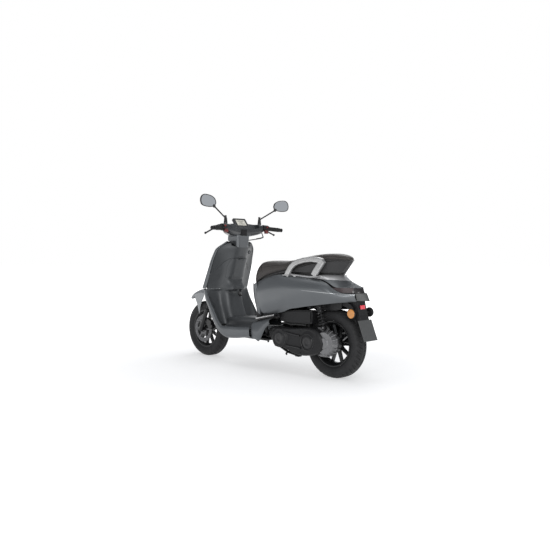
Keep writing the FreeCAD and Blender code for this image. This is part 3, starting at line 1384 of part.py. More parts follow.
# ---------------------------------------------------------------- the nodes
NODES = {
    "frame": frame,
    "front_apron": lambda: [front_apron()],
    "front_signals": front_signals,
    "inner_leg_shield": inner_leg_shield,
    "floorboard": lambda: [floorboard()],
    "belly_pan": lambda: [belly_pan()],
    "side_skirts": lambda: side_skirts() + footrest_panels(),
    "side_panels": side_panels,
    "seat_front_cover": lambda: [seat_front_cover()],
    "tail_cover": tail_cover,
    "tail_lamp": lambda: [tail_lamp()],
    "tail_rear_panel": tail_rear_panel,
    "grab_rails": grab_rails,
    "rear_mudguard": lambda: [rear_mudguard()],
    "number_plate": lambda: [number_plate()],
    "reflectors": lambda: side_reflectors() + [rear_reflector()],
    "helmet_box": lambda: [helmet_box()],
    "fuel_tank": lambda: [fuel_tank()],
    "battery": lambda: [battery()],
    "glovebox_lid": lambda: [glovebox_lid()],
    "ignition_switch": lambda: [ignition_switch()],
    "bag_hook": lambda: [bag_hook()],
    "seat_pan": lambda: [seat_pan()],
    "seat_cushion": lambda: [seat_cushion()],
    "fuel_cap": lambda: [fuel_cap()],
    "footrest_left": lambda: [footrest(1)],
    "footrest_right": lambda: [footrest(-1)],
    "steering_stem": lambda: [steering_stem()] + bar_ends(),
    "handlebar_cover": lambda: [handlebar_cover()],
    "headlamp": lambda: [headlamp(), headlamp_lens()],
    "display_unit": lambda: [display_unit()],
    "grip_left": lambda: [grip_left()],
    "throttle_grip": lambda: [throttle_grip()],
    "switch_housings": lambda: [switch_housing(1), switch_housing(-1)],
    "horn_button": lambda: [horn_button()],
    "start_button": lambda: [start_button()],
    "brake_lever_left": lambda: [brake_lever(1)],
    "brake_lever_right": lambda: [brake_lever(-1)],
    "mirror_stem_left": lambda: [mirror_stem(1)],
    "mirror_stem_right": lambda: [mirror_stem(-1)],
    "mirror_head_left": lambda: [mirror_head(1), mirror_glass(1)],
    "mirror_head_right": lambda: [mirror_head(-1), mirror_glass(-1)],
    "front_fender": lambda: [front_fender()],
    "brake_cable": lambda: [brake_cable()],
    "fork_lowers": lambda: [fork_lowers()] + fork_seals(),
    "front_caliper": lambda: [front_caliper()],
    "front_rim": lambda: [front_rim()] + front_bearings(),
    "front_tyre": lambda: [front_tyre()],
    "front_disc": lambda: [front_disc()],
    "engine_case": lambda: [engine_case()],
    "cvt_cover": lambda: [cvt_cover()],
    "gear_case": lambda: [gear_case()],
    "air_filter_box": lambda: [air_filter_box()],
    "exhaust": lambda: [exhaust()],
    "center_stand": lambda: [center_stand()],
    "rear_rim": lambda: [rear_rim()] + rear_bearings(),
    "rear_tyre": lambda: [rear_tyre()],
    "shock_body": lambda: [shock_body()],
    "shock_rod": lambda: [shock_rod()],
    "shock_spring": lambda: [shock_spring()],
}

os.makedirs("parts", exist_ok=True)
for node_name, make in NODES.items():
    export(node_name, *make())
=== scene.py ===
import json
import math

import bmesh
import bpy
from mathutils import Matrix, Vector
from mathutils.bvhtree import BVHTree
from mathutils.kdtree import KDTree


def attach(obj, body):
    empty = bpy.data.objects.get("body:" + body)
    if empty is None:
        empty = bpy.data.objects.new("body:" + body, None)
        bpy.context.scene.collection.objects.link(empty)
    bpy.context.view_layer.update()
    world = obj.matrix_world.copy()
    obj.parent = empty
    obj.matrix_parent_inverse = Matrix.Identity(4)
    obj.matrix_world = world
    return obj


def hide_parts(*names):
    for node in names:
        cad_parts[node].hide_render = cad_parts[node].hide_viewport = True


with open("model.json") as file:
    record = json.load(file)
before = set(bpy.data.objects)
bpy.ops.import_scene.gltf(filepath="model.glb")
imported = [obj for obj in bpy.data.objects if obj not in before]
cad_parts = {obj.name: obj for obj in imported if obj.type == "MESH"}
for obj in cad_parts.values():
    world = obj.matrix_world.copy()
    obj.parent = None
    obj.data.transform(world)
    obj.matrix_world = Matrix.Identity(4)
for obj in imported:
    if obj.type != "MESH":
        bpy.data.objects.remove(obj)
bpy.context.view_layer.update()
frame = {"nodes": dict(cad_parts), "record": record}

nodes = frame["nodes"]
SIDES = ((1, "left"), (-1, "right"))
CAMERA_PLACE = (-3.3875, 3.3056, 0.8404)
CAMERA_YAW = 44.835
CAMERA_PITCH = 1.804
CAMERA_LENS = 40.76
SKY_STRENGTH = 0.42


def add_object(name, data):
    """Puts a new object with this data into the scene."""
    thing = bpy.data.objects.new(name, data)
    bpy.context.scene.collection.objects.link(thing)
    return thing


def feed(node, values):
    """Sets a node's own input sockets by name."""
    for key, value in values.items():
        node.inputs[key].default_value = value


# ---- camera, floor and light
def add_camera():
    """Stands behind and to the left of the scooter at seat height, looking at its middle."""
    yaw, pitch = math.radians(CAMERA_YAW), math.radians(CAMERA_PITCH)
    view = Vector((math.cos(yaw) * math.cos(pitch), -math.sin(yaw) * math.cos(pitch), -math.sin(pitch)))
    data = bpy.data.cameras.new("camera")
    data.sensor_width, data.lens = 36.0, CAMERA_LENS
    data.clip_start, data.clip_end = 0.05, 60.0
    camera = add_object("camera", data)
    camera.location = CAMERA_PLACE
    camera.rotation_euler = view.to_track_quat("-Z", "Y").to_euler()
    bpy.context.scene.camera = camera


def area_light(name, place, target, size, power):
    """A soft white panel aimed at the target."""
    data = bpy.data.lights.new(name, "AREA")
    data.shape, data.size, data.size_y = "RECTANGLE", size[0], size[1]
    data.energy = power
    lamp = add_object(name, data)
    lamp.location = place
    lamp.rotation_euler = (Vector(target) - Vector(place)).to_track_quat("-Z", "Y").to_euler()
    lamp.visible_camera = False


def add_world():
    """Soft surround light, with plain white behind the object."""
    world = bpy.data.worlds.new("studio")
    bpy.context.scene.world = world
    world.use_nodes = True
    tree = world.node_tree
    soft, sky = tree.nodes["Background"], tree.nodes.new("ShaderNodeBackground")
    feed(soft, {"Color": (0.93, 0.96, 1.0, 1.0), "Strength": SKY_STRENGTH})
    feed(sky, {"Color": (1.0, 1.0, 1.0, 1.0), "Strength": 1.0})
    path, mix = tree.nodes.new("ShaderNodeLightPath"), tree.nodes.new("ShaderNodeMixShader")
    tree.links.new(path.outputs["Is Camera Ray"], mix.inputs[0])
    tree.links.new(soft.outputs[0], mix.inputs[1])
    tree.links.new(sky.outputs[0], mix.inputs[2])
    tree.links.new(mix.outputs[0], tree.nodes["World Output"].inputs["Surface"])


def add_floor():
    """A pale floor: bright far out, and matt enough near the object to take a soft shadow."""
    mesh = bpy.data.meshes.new("floor")
    mesh.from_pydata([(-40, -40, 0), (40, -40, 0), (40, 40, 0), (-40, 40, 0)], [], [(0, 1, 2, 3)])
    floor = add_object("floor", mesh)
    stuff = bpy.data.materials.new("floor")
    stuff.use_nodes = True
    tree = stuff.node_tree
    shader = tree.nodes["Principled BSDF"]
    feed(shader, {"Base Color": (0.9, 0.9, 0.91, 1.0), "Roughness": 0.8, "Specular IOR Level": 0.0})
    glow, mix = tree.nodes.new("ShaderNodeEmission"), tree.nodes.new("ShaderNodeMixShader")
    feed(glow, {"Color": (1.0, 1.0, 1.0, 1.0), "Strength": 1.5})
    where = tree.nodes.new("ShaderNodeTexCoord")
    reach = tree.nodes.new("ShaderNodeVectorMath")
    reach.operation = "LENGTH"
    fade = tree.nodes.new("ShaderNodeMapRange")
    fade.interpolation_type = "SMOOTHSTEP"
    feed(fade, {"From Min": 0.9, "From Max": 2.6, "To Min": 0.32, "To Max": 1.0})
    tree.links.new(where.outputs["Object"], reach.inputs[0])
    tree.links.new(reach.outputs["Value"], fade.inputs["Value"])
    tree.links.new(fade.outputs["Result"], mix.inputs[0])
    tree.links.new(shader.outputs["BSDF"], mix.inputs[1])
    tree.links.new(glow.outputs["Emission"], mix.inputs[2])
    tree.links.new(mix.outputs["Shader"], tree.nodes["Material Output"].inputs["Surface"])
    mesh.materials.append(stuff)


add_camera()
add_world()
add_floor()
area_light("key", (-2.6, 2.9, 1.7), (0, 0, 0.5), (2.4, 1.6), 62.0)
area_light("rim", (1.8, -2.4, 2.6), (0, 0, 0.5), (2.2, 2.2), 34.0)
area_light("top", (0.2, 0.0, 4.2), (0, 0, 0.0), (3.5, 3.5), 50.0)
bpy.context.scene.view_settings.view_transform = "Standard"


# ---- materials
def finish(name, base, rough, metal=0.0, coat=0.0, coat_rough=0.1, specular=0.5, mottle=0.1,
           mottle_scale=6.0, spread=0.06, grain=0.0, grain_scale=900.0, grain_kind="noise",
           round_edge=0.0012, wear=0.0):
    """A procedural finish with colour variation, uneven gloss, fine relief and softened edges."""
    stuff = bpy.data.materials.new(name)
    stuff.use_nodes = True
    tree = stuff.node_tree
    new, link = tree.nodes.new, tree.links.new
    shader = tree.nodes["Principled BSDF"]
    feed(shader, {"Metallic": metal, "Specular IOR Level": specular, "Coat Weight": coat,
                  "Coat Roughness": coat_rough, "Sheen Weight": 0.0})
    place = new("ShaderNodeTexCoord").outputs["Object"]
    cloud = new("ShaderNodeTexNoise")
    feed(cloud, {"Scale": mottle_scale, "Detail": 5.0})
    link(place, cloud.inputs["Vector"])
    ramp = new("ShaderNodeValToRGB")
    ramp.color_ramp.elements[0].position, ramp.color_ramp.elements[1].position = 0.3, 0.72
    ramp.color_ramp.elements[0].color = [c * (1 - mottle) for c in base] + [1.0]
    ramp.color_ramp.elements[1].color = [min(1.0, c * (1 + mottle)) for c in base] + [1.0]
    link(cloud.outputs["Fac"], ramp.inputs["Fac"])
    colour = ramp.outputs["Color"]
    speck = new("ShaderNodeTexNoise")
    feed(speck, {"Scale": 140.0, "Detail": 3.0})
    link(place, speck.inputs["Vector"])
    gloss = new("ShaderNodeMapRange")
    feed(gloss, {"From Min": 0.25, "From Max": 0.75, "To Min": max(0.02, rough - spread),
                 "To Max": min(1.0, rough + spread)})
    link(speck.outputs["Fac"], gloss.inputs["Value"])
    link(gloss.outputs["Result"], shader.inputs["Roughness"])
    normal = None
    if round_edge:
        bevel = new("ShaderNodeBevel")
        bevel.samples = 4
        bevel.inputs["Radius"].default_value = round_edge
        normal = bevel.outputs["Normal"]
    if wear and round_edge:
        flat = new("ShaderNodeNewGeometry")
        turn = new("ShaderNodeVectorMath")
        turn.operation = "DOT_PRODUCT"
        link(flat.outputs["Normal"], turn.inputs[0])
        link(bevel.outputs["Normal"], turn.inputs[1])
        edge = new("ShaderNodeMapRange")
        feed(edge, {"From Min": 0.995, "From Max": 0.90, "To Min": 0.0, "To Max": wear})
        link(turn.outputs["Value"], edge.inputs["Value"])
        blend = new("ShaderNodeMix")
        blend.data_type = "RGBA"
        link(edge.outputs["Result"], blend.inputs["Factor"])
        link(colour, blend.inputs["A"])
        blend.inputs["B"].default_value = [min(1.0, c * 2.2 + 0.03) for c in base] + [1.0]
        colour = blend.outputs["Result"]
    link(colour, shader.inputs["Base Color"])
    if grain:
        if grain_kind == "noise":
            relief = new("ShaderNodeTexNoise")
            relief.inputs["Detail"].default_value = 4.0
            height = relief.outputs["Fac"]
        else:
            relief = new("ShaderNodeTexVoronoi")
            height = relief.outputs["Distance"]
        relief.inputs["Scale"].default_value = grain_scale
        link(place, relief.inputs["Vector"])
        bump = new("ShaderNodeBump")
        feed(bump, {"Strength": grain, "Distance": 0.0006})
        link(height, bump.inputs["Height"])
        if normal:
            link(normal, bump.inputs["Normal"])
        normal = bump.outputs["Normal"]
    if normal:
        link(normal, shader.inputs["Normal"])
    return stuff


PAINT = finish("paint_graphite", (0.098, 0.105, 0.112), 0.36, metal=0.55, coat=0.35, coat_rough=0.22,
               mottle=0.05, spread=0.03, grain=0.05, grain_scale=2600.0, round_edge=0.0025)
PAINT_LIGHT = finish("paint_fender", (0.25, 0.26, 0.27), 0.36, metal=0.5, coat=0.3, coat_rough=0.2,
                     mottle=0.05, spread=0.03, grain=0.05, grain_scale=2600.0, round_edge=0.0025)
SHIELD = finish("shield_plastic", (0.060, 0.064, 0.068), 0.42, metal=0.2, mottle=0.07, spread=0.05,
                grain=0.18, grain_scale=1500.0, round_edge=0.003)
BLACK = finish("black_plastic", (0.010, 0.010, 0.011), 0.5, specular=0.3, mottle=0.15, spread=0.08, grain=0.3,
               grain_scale=1300.0, round_edge=0.0015, wear=0.25)
GREY = finish("grey_plastic", (0.068, 0.070, 0.070), 0.5, mottle=0.1, grain=0.35, grain_scale=900.0,
              grain_kind="cells", round_edge=0.0015)
STEEL_BLACK = finish("frame_steel", (0.011, 0.011, 0.012), 0.42, metal=0.2, specular=0.3, mottle=0.2,
                     spread=0.1, grain=0.15, grain_scale=700.0, wear=0.3)
RAIL = finish("silver_cast", (0.42, 0.42, 0.42), 0.30, metal=0.85, mottle=0.06, spread=0.05, grain=0.12,
              grain_scale=1800.0, round_edge=0.003)
DECK = finish("deck_silver", (0.58, 0.58, 0.585), 0.34, metal=0.75, coat=0.2, coat_rough=0.15, mottle=0.04,
              spread=0.03, grain=0.05, grain_scale=2600.0, round_edge=0.003)
CAST = finish("cast_alloy", (0.20, 0.20, 0.205), 0.42, metal=0.85, mottle=0.16, mottle_scale=14.0, spread=0.1,
              grain=0.5, grain_scale=1100.0, round_edge=0.002, wear=0.3)
BLACK_ALLOY = finish("black_alloy", (0.009, 0.009, 0.010), 0.33, metal=0.2, specular=0.35, coat=0.3,
                     coat_rough=0.2, mottle=0.12, grain=0.12, grain_scale=1500.0, round_edge=0.0015, wear=0.3)
DISC = finish("disc_steel", (0.12, 0.12, 0.125), 0.35, metal=1.0, mottle=0.08, mottle_scale=40.0, spread=0.1,
              grain=0.1, grain_scale=500.0, round_edge=0.0004)
BRIGHT = finish("bright_steel", (0.22, 0.22, 0.23), 0.16, metal=1.0, mottle=0.05, spread=0.05,
                round_edge=0.0005)
VINYL = finish("seat_vinyl", (0.040, 0.035, 0.033), 0.46, mottle=0.12, mottle_scale=5.0, spread=0.07,
               grain=0.75, grain_scale=620.0, grain_kind="cells", round_edge=0.0, specular=0.35)
VINYL_DARK = finish("seat_vinyl_dark", (0.020, 0.019, 0.019), 0.5, mottle=0.12, spread=0.07, grain=0.75,
                    grain_scale=620.0, grain_kind="cells", round_edge=0.0, specular=0.35)
SEAT_BASE = finish("seat_base", (0.020, 0.020, 0.021), 0.55, mottle=0.1, grain=0.4, grain_scale=1100.0)
RUBBER = finish("grip_rubber", (0.015, 0.015, 0.015), 0.62, mottle=0.15, grain=0.4, grain_scale=1500.0,
                specular=0.35, round_edge=0.0008)
TYRE = finish("tyre_rubber", (0.016, 0.016, 0.017), 0.66, mottle=0.2, mottle_scale=20.0, spread=0.1,
              grain=0.35, grain_scale=900.0, specular=0.35, round_edge=0.0)
HOSE = finish("hose_rubber", (0.013, 0.013, 0.013), 0.5, mottle=0.1, grain=0.3, grain_scale=1800.0,
              specular=0.4)
RED = finish("switch_red", (0.17, 0.010, 0.010), 0.35, mottle=0.08, coat=0.3, round_edge=0.0008)
SPRING = finish("spring_steel", (0.010, 0.010, 0.011), 0.45, specular=0.3, mottle=0.1, grain=0.1,
                round_edge=0.0)
SHELL = finish("mirror_shell", (0.016, 0.016, 0.017), 0.3, coat=0.35, coat_rough=0.15, mottle=0.1,
               round_edge=0.001)
SMOKE = finish("tail_smoke", (0.034, 0.022, 0.024), 0.4, specular=0.25, coat=0.1, coat_rough=0.1, mottle=0.2,
               mottle_scale=30.0, spread=0.03, round_edge=0.001)
LAMP_DARK = finish("tail_smoke_dark", (0.010, 0.008, 0.009), 0.14, coat=0.6, coat_rough=0.05, mottle=0.2,
                   mottle_scale=30.0, spread=0.03, round_edge=0.001)
LENS_RED = finish("lens_red", (0.85, 0.07, 0.10), 0.18, coat=0.6, coat_rough=0.05, mottle=0.1,
                  mottle_scale=80.0, grain=0.5, grain_scale=420.0, grain_kind="cells", round_edge=0.0)
COVER_DARK = finish("cover_dark", (0.024, 0.026, 0.029), 0.3, metal=0.2, coat=0.4, coat_rough=0.2, mottle=0.1,
                    grain=0.1, grain_scale=1500.0, round_edge=0.002)
# Near-black plastic that paints the shade line under the step edge in the leg shield.
SHIELD_SHADE_LINE = finish("shield_painted_shade", (0.018, 0.019, 0.021), 0.5, mottle=0.1, round_edge=0.0)
RED_DARK = finish("switch_dark_red", (0.085, 0.012, 0.012), 0.4, mottle=0.15, coat=0.2, round_edge=0.001)
# Silver for the streak on the body sides, and also for the ledge beads on the leg shield, where it paints the
# highlight along the ledge's edge.
STREAK_SILVER_AND_LEDGE_HIGHLIGHT = finish("streak_silver_and_ledge_highlight", (0.36, 0.37, 0.38), 0.26, metal=0.8, coat=0.3, mottle=0.05, spread=0.03)
SCREEN = finish("screen_pale", (0.62, 0.60, 0.53), 0.22, coat=0.5, coat_rough=0.05, mottle=0.05, spread=0.03,
                round_edge=0.0)
SCREEN_MARK = finish("screen_mark", (0.12, 0.12, 0.11), 0.3, mottle=0.05, round_edge=0.0)
AMBER = finish("signal_amber", (0.70, 0.20, 0.02), 0.14, coat=0.6, coat_rough=0.05, mottle=0.12,
               mottle_scale=90.0, grain=0.6, grain_scale=420.0, grain_kind="cells", round_edge=0.0)
AMBER_DIM = finish("reflector_amber", (0.50, 0.20, 0.035), 0.2, coat=0.5, coat_rough=0.08, mottle=0.12,
                   mottle_scale=90.0, grain=0.6, grain_scale=420.0, grain_kind="cells", round_edge=0.0)
CLEAR = finish("lamp_clear", (0.75, 0.77, 0.80), 0.08, coat=0.8, coat_rough=0.04, mottle=0.06, round_edge=0.0)

FINISHES = {
    "frame_steel": STEEL_BLACK, "paint_graphite": PAINT, "paint_light": PAINT_LIGHT, "lamp_clear": CLEAR,
    "shield_plastic": SHIELD, "black_plastic": BLACK, "deck_silver": DECK, "tail_smoke": SMOKE,
    "grey_plastic": GREY, "silver_cast": RAIL, "signal_amber": AMBER, "bright_steel": BRIGHT,
    "seat_base": SEAT_BASE, "seat_vinyl": VINYL, "display_glass": SHELL, "grip_rubber": RUBBER,
    "switch_red": RED, "black_alloy": BLACK_ALLOY, "mirror_shell": SHELL, "hose_rubber": HOSE,
    "tyre_rubber": TYRE, "disc_steel": DISC, "cast_alloy": CAST, "spring_steel": SPRING,
}
slots = [entry["slot"] for entry in frame["record"]["materials"]]
DARKER = {"shock_rod": STEEL_BLACK, "shock_body": STEEL_BLACK, "bag_hook": BLACK_ALLOY}
SLOT_OF = {}
for entry in frame["record"]["subparts"]:
    name = entry["node"]
    slot = entry.get("material_slot", entry.get("slot"))
    SLOT_OF[name] = slots[slot] if isinstance(slot, int) else slot
    nodes[name].data.materials.clear()
    nodes[name].data.materials.append(DARKER.get(name, FINISHES[SLOT_OF[name]]))


# ---- mesh helpers
def smooth(mesh):
    """Smooth shading on every face."""
    for face in mesh.polygons:
        face.use_smooth = True


def piece(name, verts, faces, stuff, body):
    """A new mesh piece, its points given in millimetres in the CAD frame."""
    mesh = bpy.data.meshes.new(name)
    mesh.from_pydata([(x / 1000, y / 1000, z / 1000) for x, y, z in verts], [], faces)
    mesh.validate()
    shell = bmesh.new()
    shell.from_mesh(mesh)
    bmesh.ops.remove_doubles(shell, verts=shell.verts, dist=1e-6)
    bmesh.ops.recalc_face_normals(shell, faces=shell.faces)
    shell.to_mesh(mesh)
    shell.free()
    thing = add_object(name, mesh)
    for one in stuff if isinstance(stuff, list) else [stuff]:
        mesh.materials.append(one)
    smooth(mesh)
    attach(thing, body)
    return thing


def sharpen(thing, degrees=35):
    """Smooth shading that keeps the edges sharper than this angle."""
    shape = bmesh.new()
    shape.from_mesh(thing.data)
    for edge in shape.edges:
        if len(edge.link_faces) == 2:
            edge.smooth = edge.calc_face_angle(0) < math.radians(degrees)
    shape.to_mesh(thing.data)
    shape.free()
    return thing


def modify(thing, kind, **settings):
    """Adds a modifier and applies it to the mesh."""
    step = thing.modifiers.new(kind, kind)
    for key, value in settings.items():
        setattr(step, key, value)
    graph = bpy.context.evaluated_depsgraph_get()
    done = bpy.data.meshes.new_from_object(thing.evaluated_get(graph))
    old = thing.data
    thing.modifiers.remove(step)
    thing.data = done
    bpy.data.meshes.remove(old)
    return thing


def grid_faces(rows, cols, closed=False, ends=False):
    """Quads between rows of points; closed joins each row's end to its start."""
    faces = []
    for i in range(rows - 1):
        for j in range(cols if closed else cols - 1):
            k = (j + 1) % cols
            faces.append((i * cols + j, i * cols + k, (i + 1) * cols + k, (i + 1) * cols + j))
    if ends:
        faces.append(tuple(range(cols))[::-1])
        faces.append(tuple((rows - 1) * cols + j for j in range(cols)))
    return faces


def basis(axis):
    """Two unit vectors square to an axis."""
    axis = Vector(axis).normalized()
    side = axis.cross(Vector((0, 0, 1)))
    if side.length < 0.1:
        side = axis.cross(Vector((0, 1, 0)))
    side.normalize()
    return side, axis.cross(side)


def lathe(name, centre, axis, profile, stuff, body, slot, count=96, closed=False, ripple=None):
    """Turns (radius, along) points about an axis; ripple(angle, radius, along) may change the radius."""
    centre, axis = Vector(centre), Vector(axis).normalized()
    u, v = basis(axis)
    verts = []
    for i in range(count):
        angle = 2 * math.pi * i / count
        for radius, along in profile:
            r = ripple(angle, radius, along) if ripple else radius
            verts.append(centre + axis * along + (u * math.cos(angle) + v * math.sin(angle)) * r)
    cols = len(profile)
    faces = []
    for i in range(count):
        k = (i + 1) % count
        for j in range(cols if closed else cols - 1):
            n = (j + 1) % cols
            faces.append((i * cols + j, i * cols + n, k * cols + n, k * cols + j))
    return piece(name, verts, faces, stuff, body)


def tube(name, points, radius, stuff, body, slot, cyclic=False):
    """A round bead along points, as a real mesh."""
    curve = bpy.data.curves.new(name + "_line", "CURVE")
    curve.dimensions, curve.bevel_depth, curve.bevel_resolution = "3D", radius / 1000, 2
    curve.resolution_u = 4
    line = curve.splines.new("NURBS")
    line.points.add(len(points) - 1)
    for point, place in zip(line.points, points):
        point.co = (place[0] / 1000, place[1] / 1000, place[2] / 1000, 1.0)
    line.use_cyclic_u = cyclic
    line.order_u = 3
    line.use_endpoint_u = not cyclic
    curve.use_fill_caps = True
    holder = add_object(name + "_line", curve)
    graph = bpy.context.evaluated_depsgraph_get()
    mesh = bpy.data.meshes.new_from_object(holder.evaluated_get(graph))
    bpy.data.objects.remove(holder)
    bpy.data.curves.remove(curve)
    mesh.name = name
    thing = add_object(name, mesh)
    mesh.materials.clear()
    mesh.materials.append(stuff)
    smooth(mesh)
    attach(thing, body)
    return thing


def hermite(table, x):
    """Smooth interpolation of a table of (x, value, ...) rows, rising or falling in x."""
    rows = table if table[0][0] < table[-1][0] else table[::-1]
    x = min(max(x, rows[0][0]), rows[-1][0])
    i = max(k for k in range(len(rows) - 1) if rows[k][0] <= x)
    low, high = rows[i], rows[i + 1]
    before = rows[i - 1] if i else low
    after = rows[i + 2] if i + 2 < len(rows) else high
    span = high[0] - low[0]
    t = (x - low[0]) / span
    out = []
    for k in range(1, len(low)):
        m0 = (high[k] - before[k]) / (high[0] - before[0]) * span
        m1 = (after[k] - low[k]) / (after[0] - low[0]) * span
        out.append((2 * t**3 - 3 * t**2 + 1) * low[k] + (t**3 - 2 * t**2 + t) * m0
                   + (3 * t**2 - 2 * t**3) * high[k] + (t**3 - t**2) * m1)
    return out


def rounded(points, count, closed=True):
    """Points evenly spread along a smooth curve through these corners."""
    n = len(points)
    out = []
    spans = n if closed else n - 1
    for i in range(spans):
        p0, p1 = Vector(points[i - 1 if (closed or i) else 0]), Vector(points[i])
        p2 = Vector(points[(i + 1) % n if closed else i + 1])
        p3 = Vector(points[(i + 2) % n if closed else min(i + 2, n - 1)])
        for k in range(count):
            t = k / count
            out.append(0.5 * ((2 * p1) + (p2 - p0) * t + (2 * p0 - 5 * p1 + 4 * p2 - p3) * t**2
                              + (3 * p1 - p0 - 3 * p2 + p3) * t**3))
    if not closed:
        out.append(Vector(points[-1]))
    return out


# ---- seat
SEAT = (
    # x, half width, bottom z, top z
    (84, 30, 622, 640),
    (74, 64, 620, 676),
    (56, 90, 622, 716),
    (30, 110, 632, 757),
    (0, 124, 648, 781),
    (-40, 135, 664, 796),
    (-100, 142, 690, 801),
    (-200, 146, 716, 800),
    (-280, 143, 732, 801),
    (-340, 135, 742, 808),
    (-420, 131, 758, 824),
    (-500, 129, 776, 838),
    (-600, 121, 794, 850),
    (-650, 106, 800, 852),
    (-690, 87, 803, 850),
    (-750, 56, 804, 840),
    (-785, 34, 805, 829),
    (-808, 14, 806, 818),
)


SEAT_INSET = 5.0      # the cushion starts this much smaller and swells out again
END_MARGIN = 6.0      # further room at the nose and the tail
STATIONS = 91
VOXEL = 0.0055
CLOTH_FRAMES = 20
CLOTH_REACH = 0.006   # the furthest that a point may move
BAND_LEVEL = 0.30     # height of the darker band, as a fraction of the side
BAND_START = -318


def dome(x, half, low, high, inset):
    """One cross-section of the cushion: flat below, tucked in at the sides, crowned above."""
    half, low, high = half - inset, low + inset * 0.3, high - inset
    rise = high - low
    side = [(half * 0.94, low), (half, low + rise * 0.3), (half * 0.93, low + rise * 0.68),
            (half * 0.72, low + rise * 0.91), (half * 0.4, low + rise * 0.985), (0, high)]
    left = rounded([(x, y, z) for y, z in side], 4, closed=False)
    right = [Vector((p.x, -p.y, p.z)) for p in left[::-1][1:]]
    base = [Vector((x, half * f, low)) for f in (-0.5, 0.0, 0.5)]
    return left + right + base


def soft_cushion():
    """The padded cushion before its seams: a smooth closed form, swollen as cloth."""
    first = SEAT[0][0] - SEAT_INSET - END_MARGIN
    last = SEAT[-1][0] + SEAT_INSET + END_MARGIN
    rows = []
    for i in range(STATIONS):
        x = first + (last - first) * i / (STATIONS - 1)
        half, low, high = hermite(SEAT, x)
        rows.append(dome(x, half, low, high, SEAT_INSET))
    cols = len(rows[0])
    verts = [p for row in rows for p in row]
    cushion = piece("seat_cushion_soft", verts, grid_faces(len(rows), cols, closed=True, ends=True),
                    [VINYL, VINYL_DARK], "seat")
    modify(cushion, "REMESH", mode="VOXEL", voxel_size=VOXEL)
    swell(cushion)
    modify(cushion, "SUBSURF", levels=1)
    smooth(cushion.data)
    return cushion


def swell(cushion):
    """Cloth under a little pressure, kept within a few millimetres of the start."""
    scene = bpy.context.scene
    start = [v.co.copy() for v in cushion.data.vertices]
    cloth = cushion.modifiers.new("cloth", "CLOTH")
    cloth.settings.quality = 5
    cloth.settings.mass = 0.3
    cloth.settings.tension_stiffness = cloth.settings.compression_stiffness = 20.0
    cloth.settings.bending_stiffness = 4.0
    cloth.settings.use_pressure = True
    cloth.settings.uniform_pressure_force = 4.0
    cloth.settings.effector_weights.gravity = 0.0
    cloth.collision_settings.use_collision = False
    cloth.point_cache.frame_start, cloth.point_cache.frame_end = 1, CLOTH_FRAMES
    for number in range(1, CLOTH_FRAMES + 1):
        scene.frame_set(number)
    graph = bpy.context.evaluated_depsgraph_get()
    blown = bpy.data.meshes.new_from_object(cushion.evaluated_get(graph))
    cushion.modifiers.remove(cloth)
    scene.frame_set(1)
    for old, new, vertex in zip(start, blown.vertices, cushion.data.vertices):
        move = new.co - old
        if move.length > CLOTH_REACH:
            move *= CLOTH_REACH / move.length
        low = hermite(SEAT, old.x * 1000)[1]
        vertex.co = old if old.z * 1000 < low + 6 else old + move
    bpy.data.meshes.remove(blown)


def seat_line(tree, fraction, x0, x1, count, side):
    """Points on the cushion's skin at one height fraction along its side."""
    out = []
    for i in range(count):
        x = x0 + (x1 - x0) * i / (count - 1)
        low, high = hermite(SEAT, x)[1:]
        z = low + (high - low) * fraction
        hit = tree.ray_cast(Vector((x / 1000, side * 0.3, z / 1000)), Vector((0, -side, 0)))
        if hit[0] is not None:
            out.append(hit[0] * 1000)
    return out


def cross_line(tree, x_at, count, low_fraction):
    """Points across the top of the cushion from one side to the other."""
    out = []
    for i in range(count):
        t = -1 + 2 * i / (count - 1)
        x = x_at(t)
        low, high = hermite(SEAT, x)[1:]
        middle = Vector((x, 0, low + (high - low) * low_fraction)) / 1000
        angle = t * math.pi / 2
        way = Vector((0, math.sin(angle), math.cos(angle)))
        hit = tree.ray_cast(middle + way * 0.3, -way)
        if hit[0] is not None:
            out.append(hit[0] * 1000)
    return out


def groove(thing, lines, width=4.5, depth=2.2):
    """Presses the skin in along sewn lines, in a soft channel of this width and depth."""
    points = []
    for line in lines:
        for a, b in zip(line, line[1:]):
            for k in range(4):
                points.append(a + (b - a) * k / 4)
    tree = KDTree(len(points))
    for i, point in enumerate(points):
        tree.insert(point / 1000, i)
    tree.balance()
    normals = [v.normal.copy() for v in thing.data.vertices]
    for vertex, normal in zip(thing.data.vertices, normals):
        distance = tree.find(vertex.co)[2]
        if distance < width * 2.2 / 1000:
            vertex.co -= normal * depth / 1000 * math.exp(-(distance * 1000 / (width * 0.6)) ** 2)


def dress_seat():
    """Cushion with its seams, stitches, lower band and piping."""
    cushion = soft_cushion()
    tree = BVHTree.FromObject(cushion, bpy.context.evaluated_depsgraph_get())
    step = cross_line(tree, lambda t: -332 + 34 * abs(t) ** 1.6, 61, 0.25)
    front = cross_line(tree, lambda t: -6 - 50 * abs(t) ** 1.5, 61, 0.35)
    sides = [seat_line(tree, 0.62, 20, -776, 90, s) for s in (1, -1)]
    bands = [seat_line(tree, BAND_LEVEL, -310, -780, 60, s) for s in (1, -1)]
    groove(cushion, [step, front] + sides + bands)
    for face in cushion.data.polygons:
        x, z = face.center.x * 1000, face.center.z * 1000
        low, high = hermite(SEAT, x)[1:]
        if x < BAND_START and z < low + (high - low) * BAND_LEVEL:
            face.material_index = 1
    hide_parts("seat_cushion")
    for number, line in enumerate([step, front] + sides):
        tube("seat_seam_%d" % number, line, 1.1, VINYL_DARK, "seat", "seat_vinyl")
    stitches(cushion, sides + [step])
    rim = []
    for i in range(70):
        x = 70 - 862 * i / 69
        half, low = hermite(SEAT, x)[:2]
        rim.append((x, half * 0.955, low + 2.5))
    loop = rim + [(x, -y, z) for x, y, z in rim[::-1]]
    tube("seat_piping", loop, 3.2, VINYL_DARK, "seat", "seat_vinyl", cyclic=True)


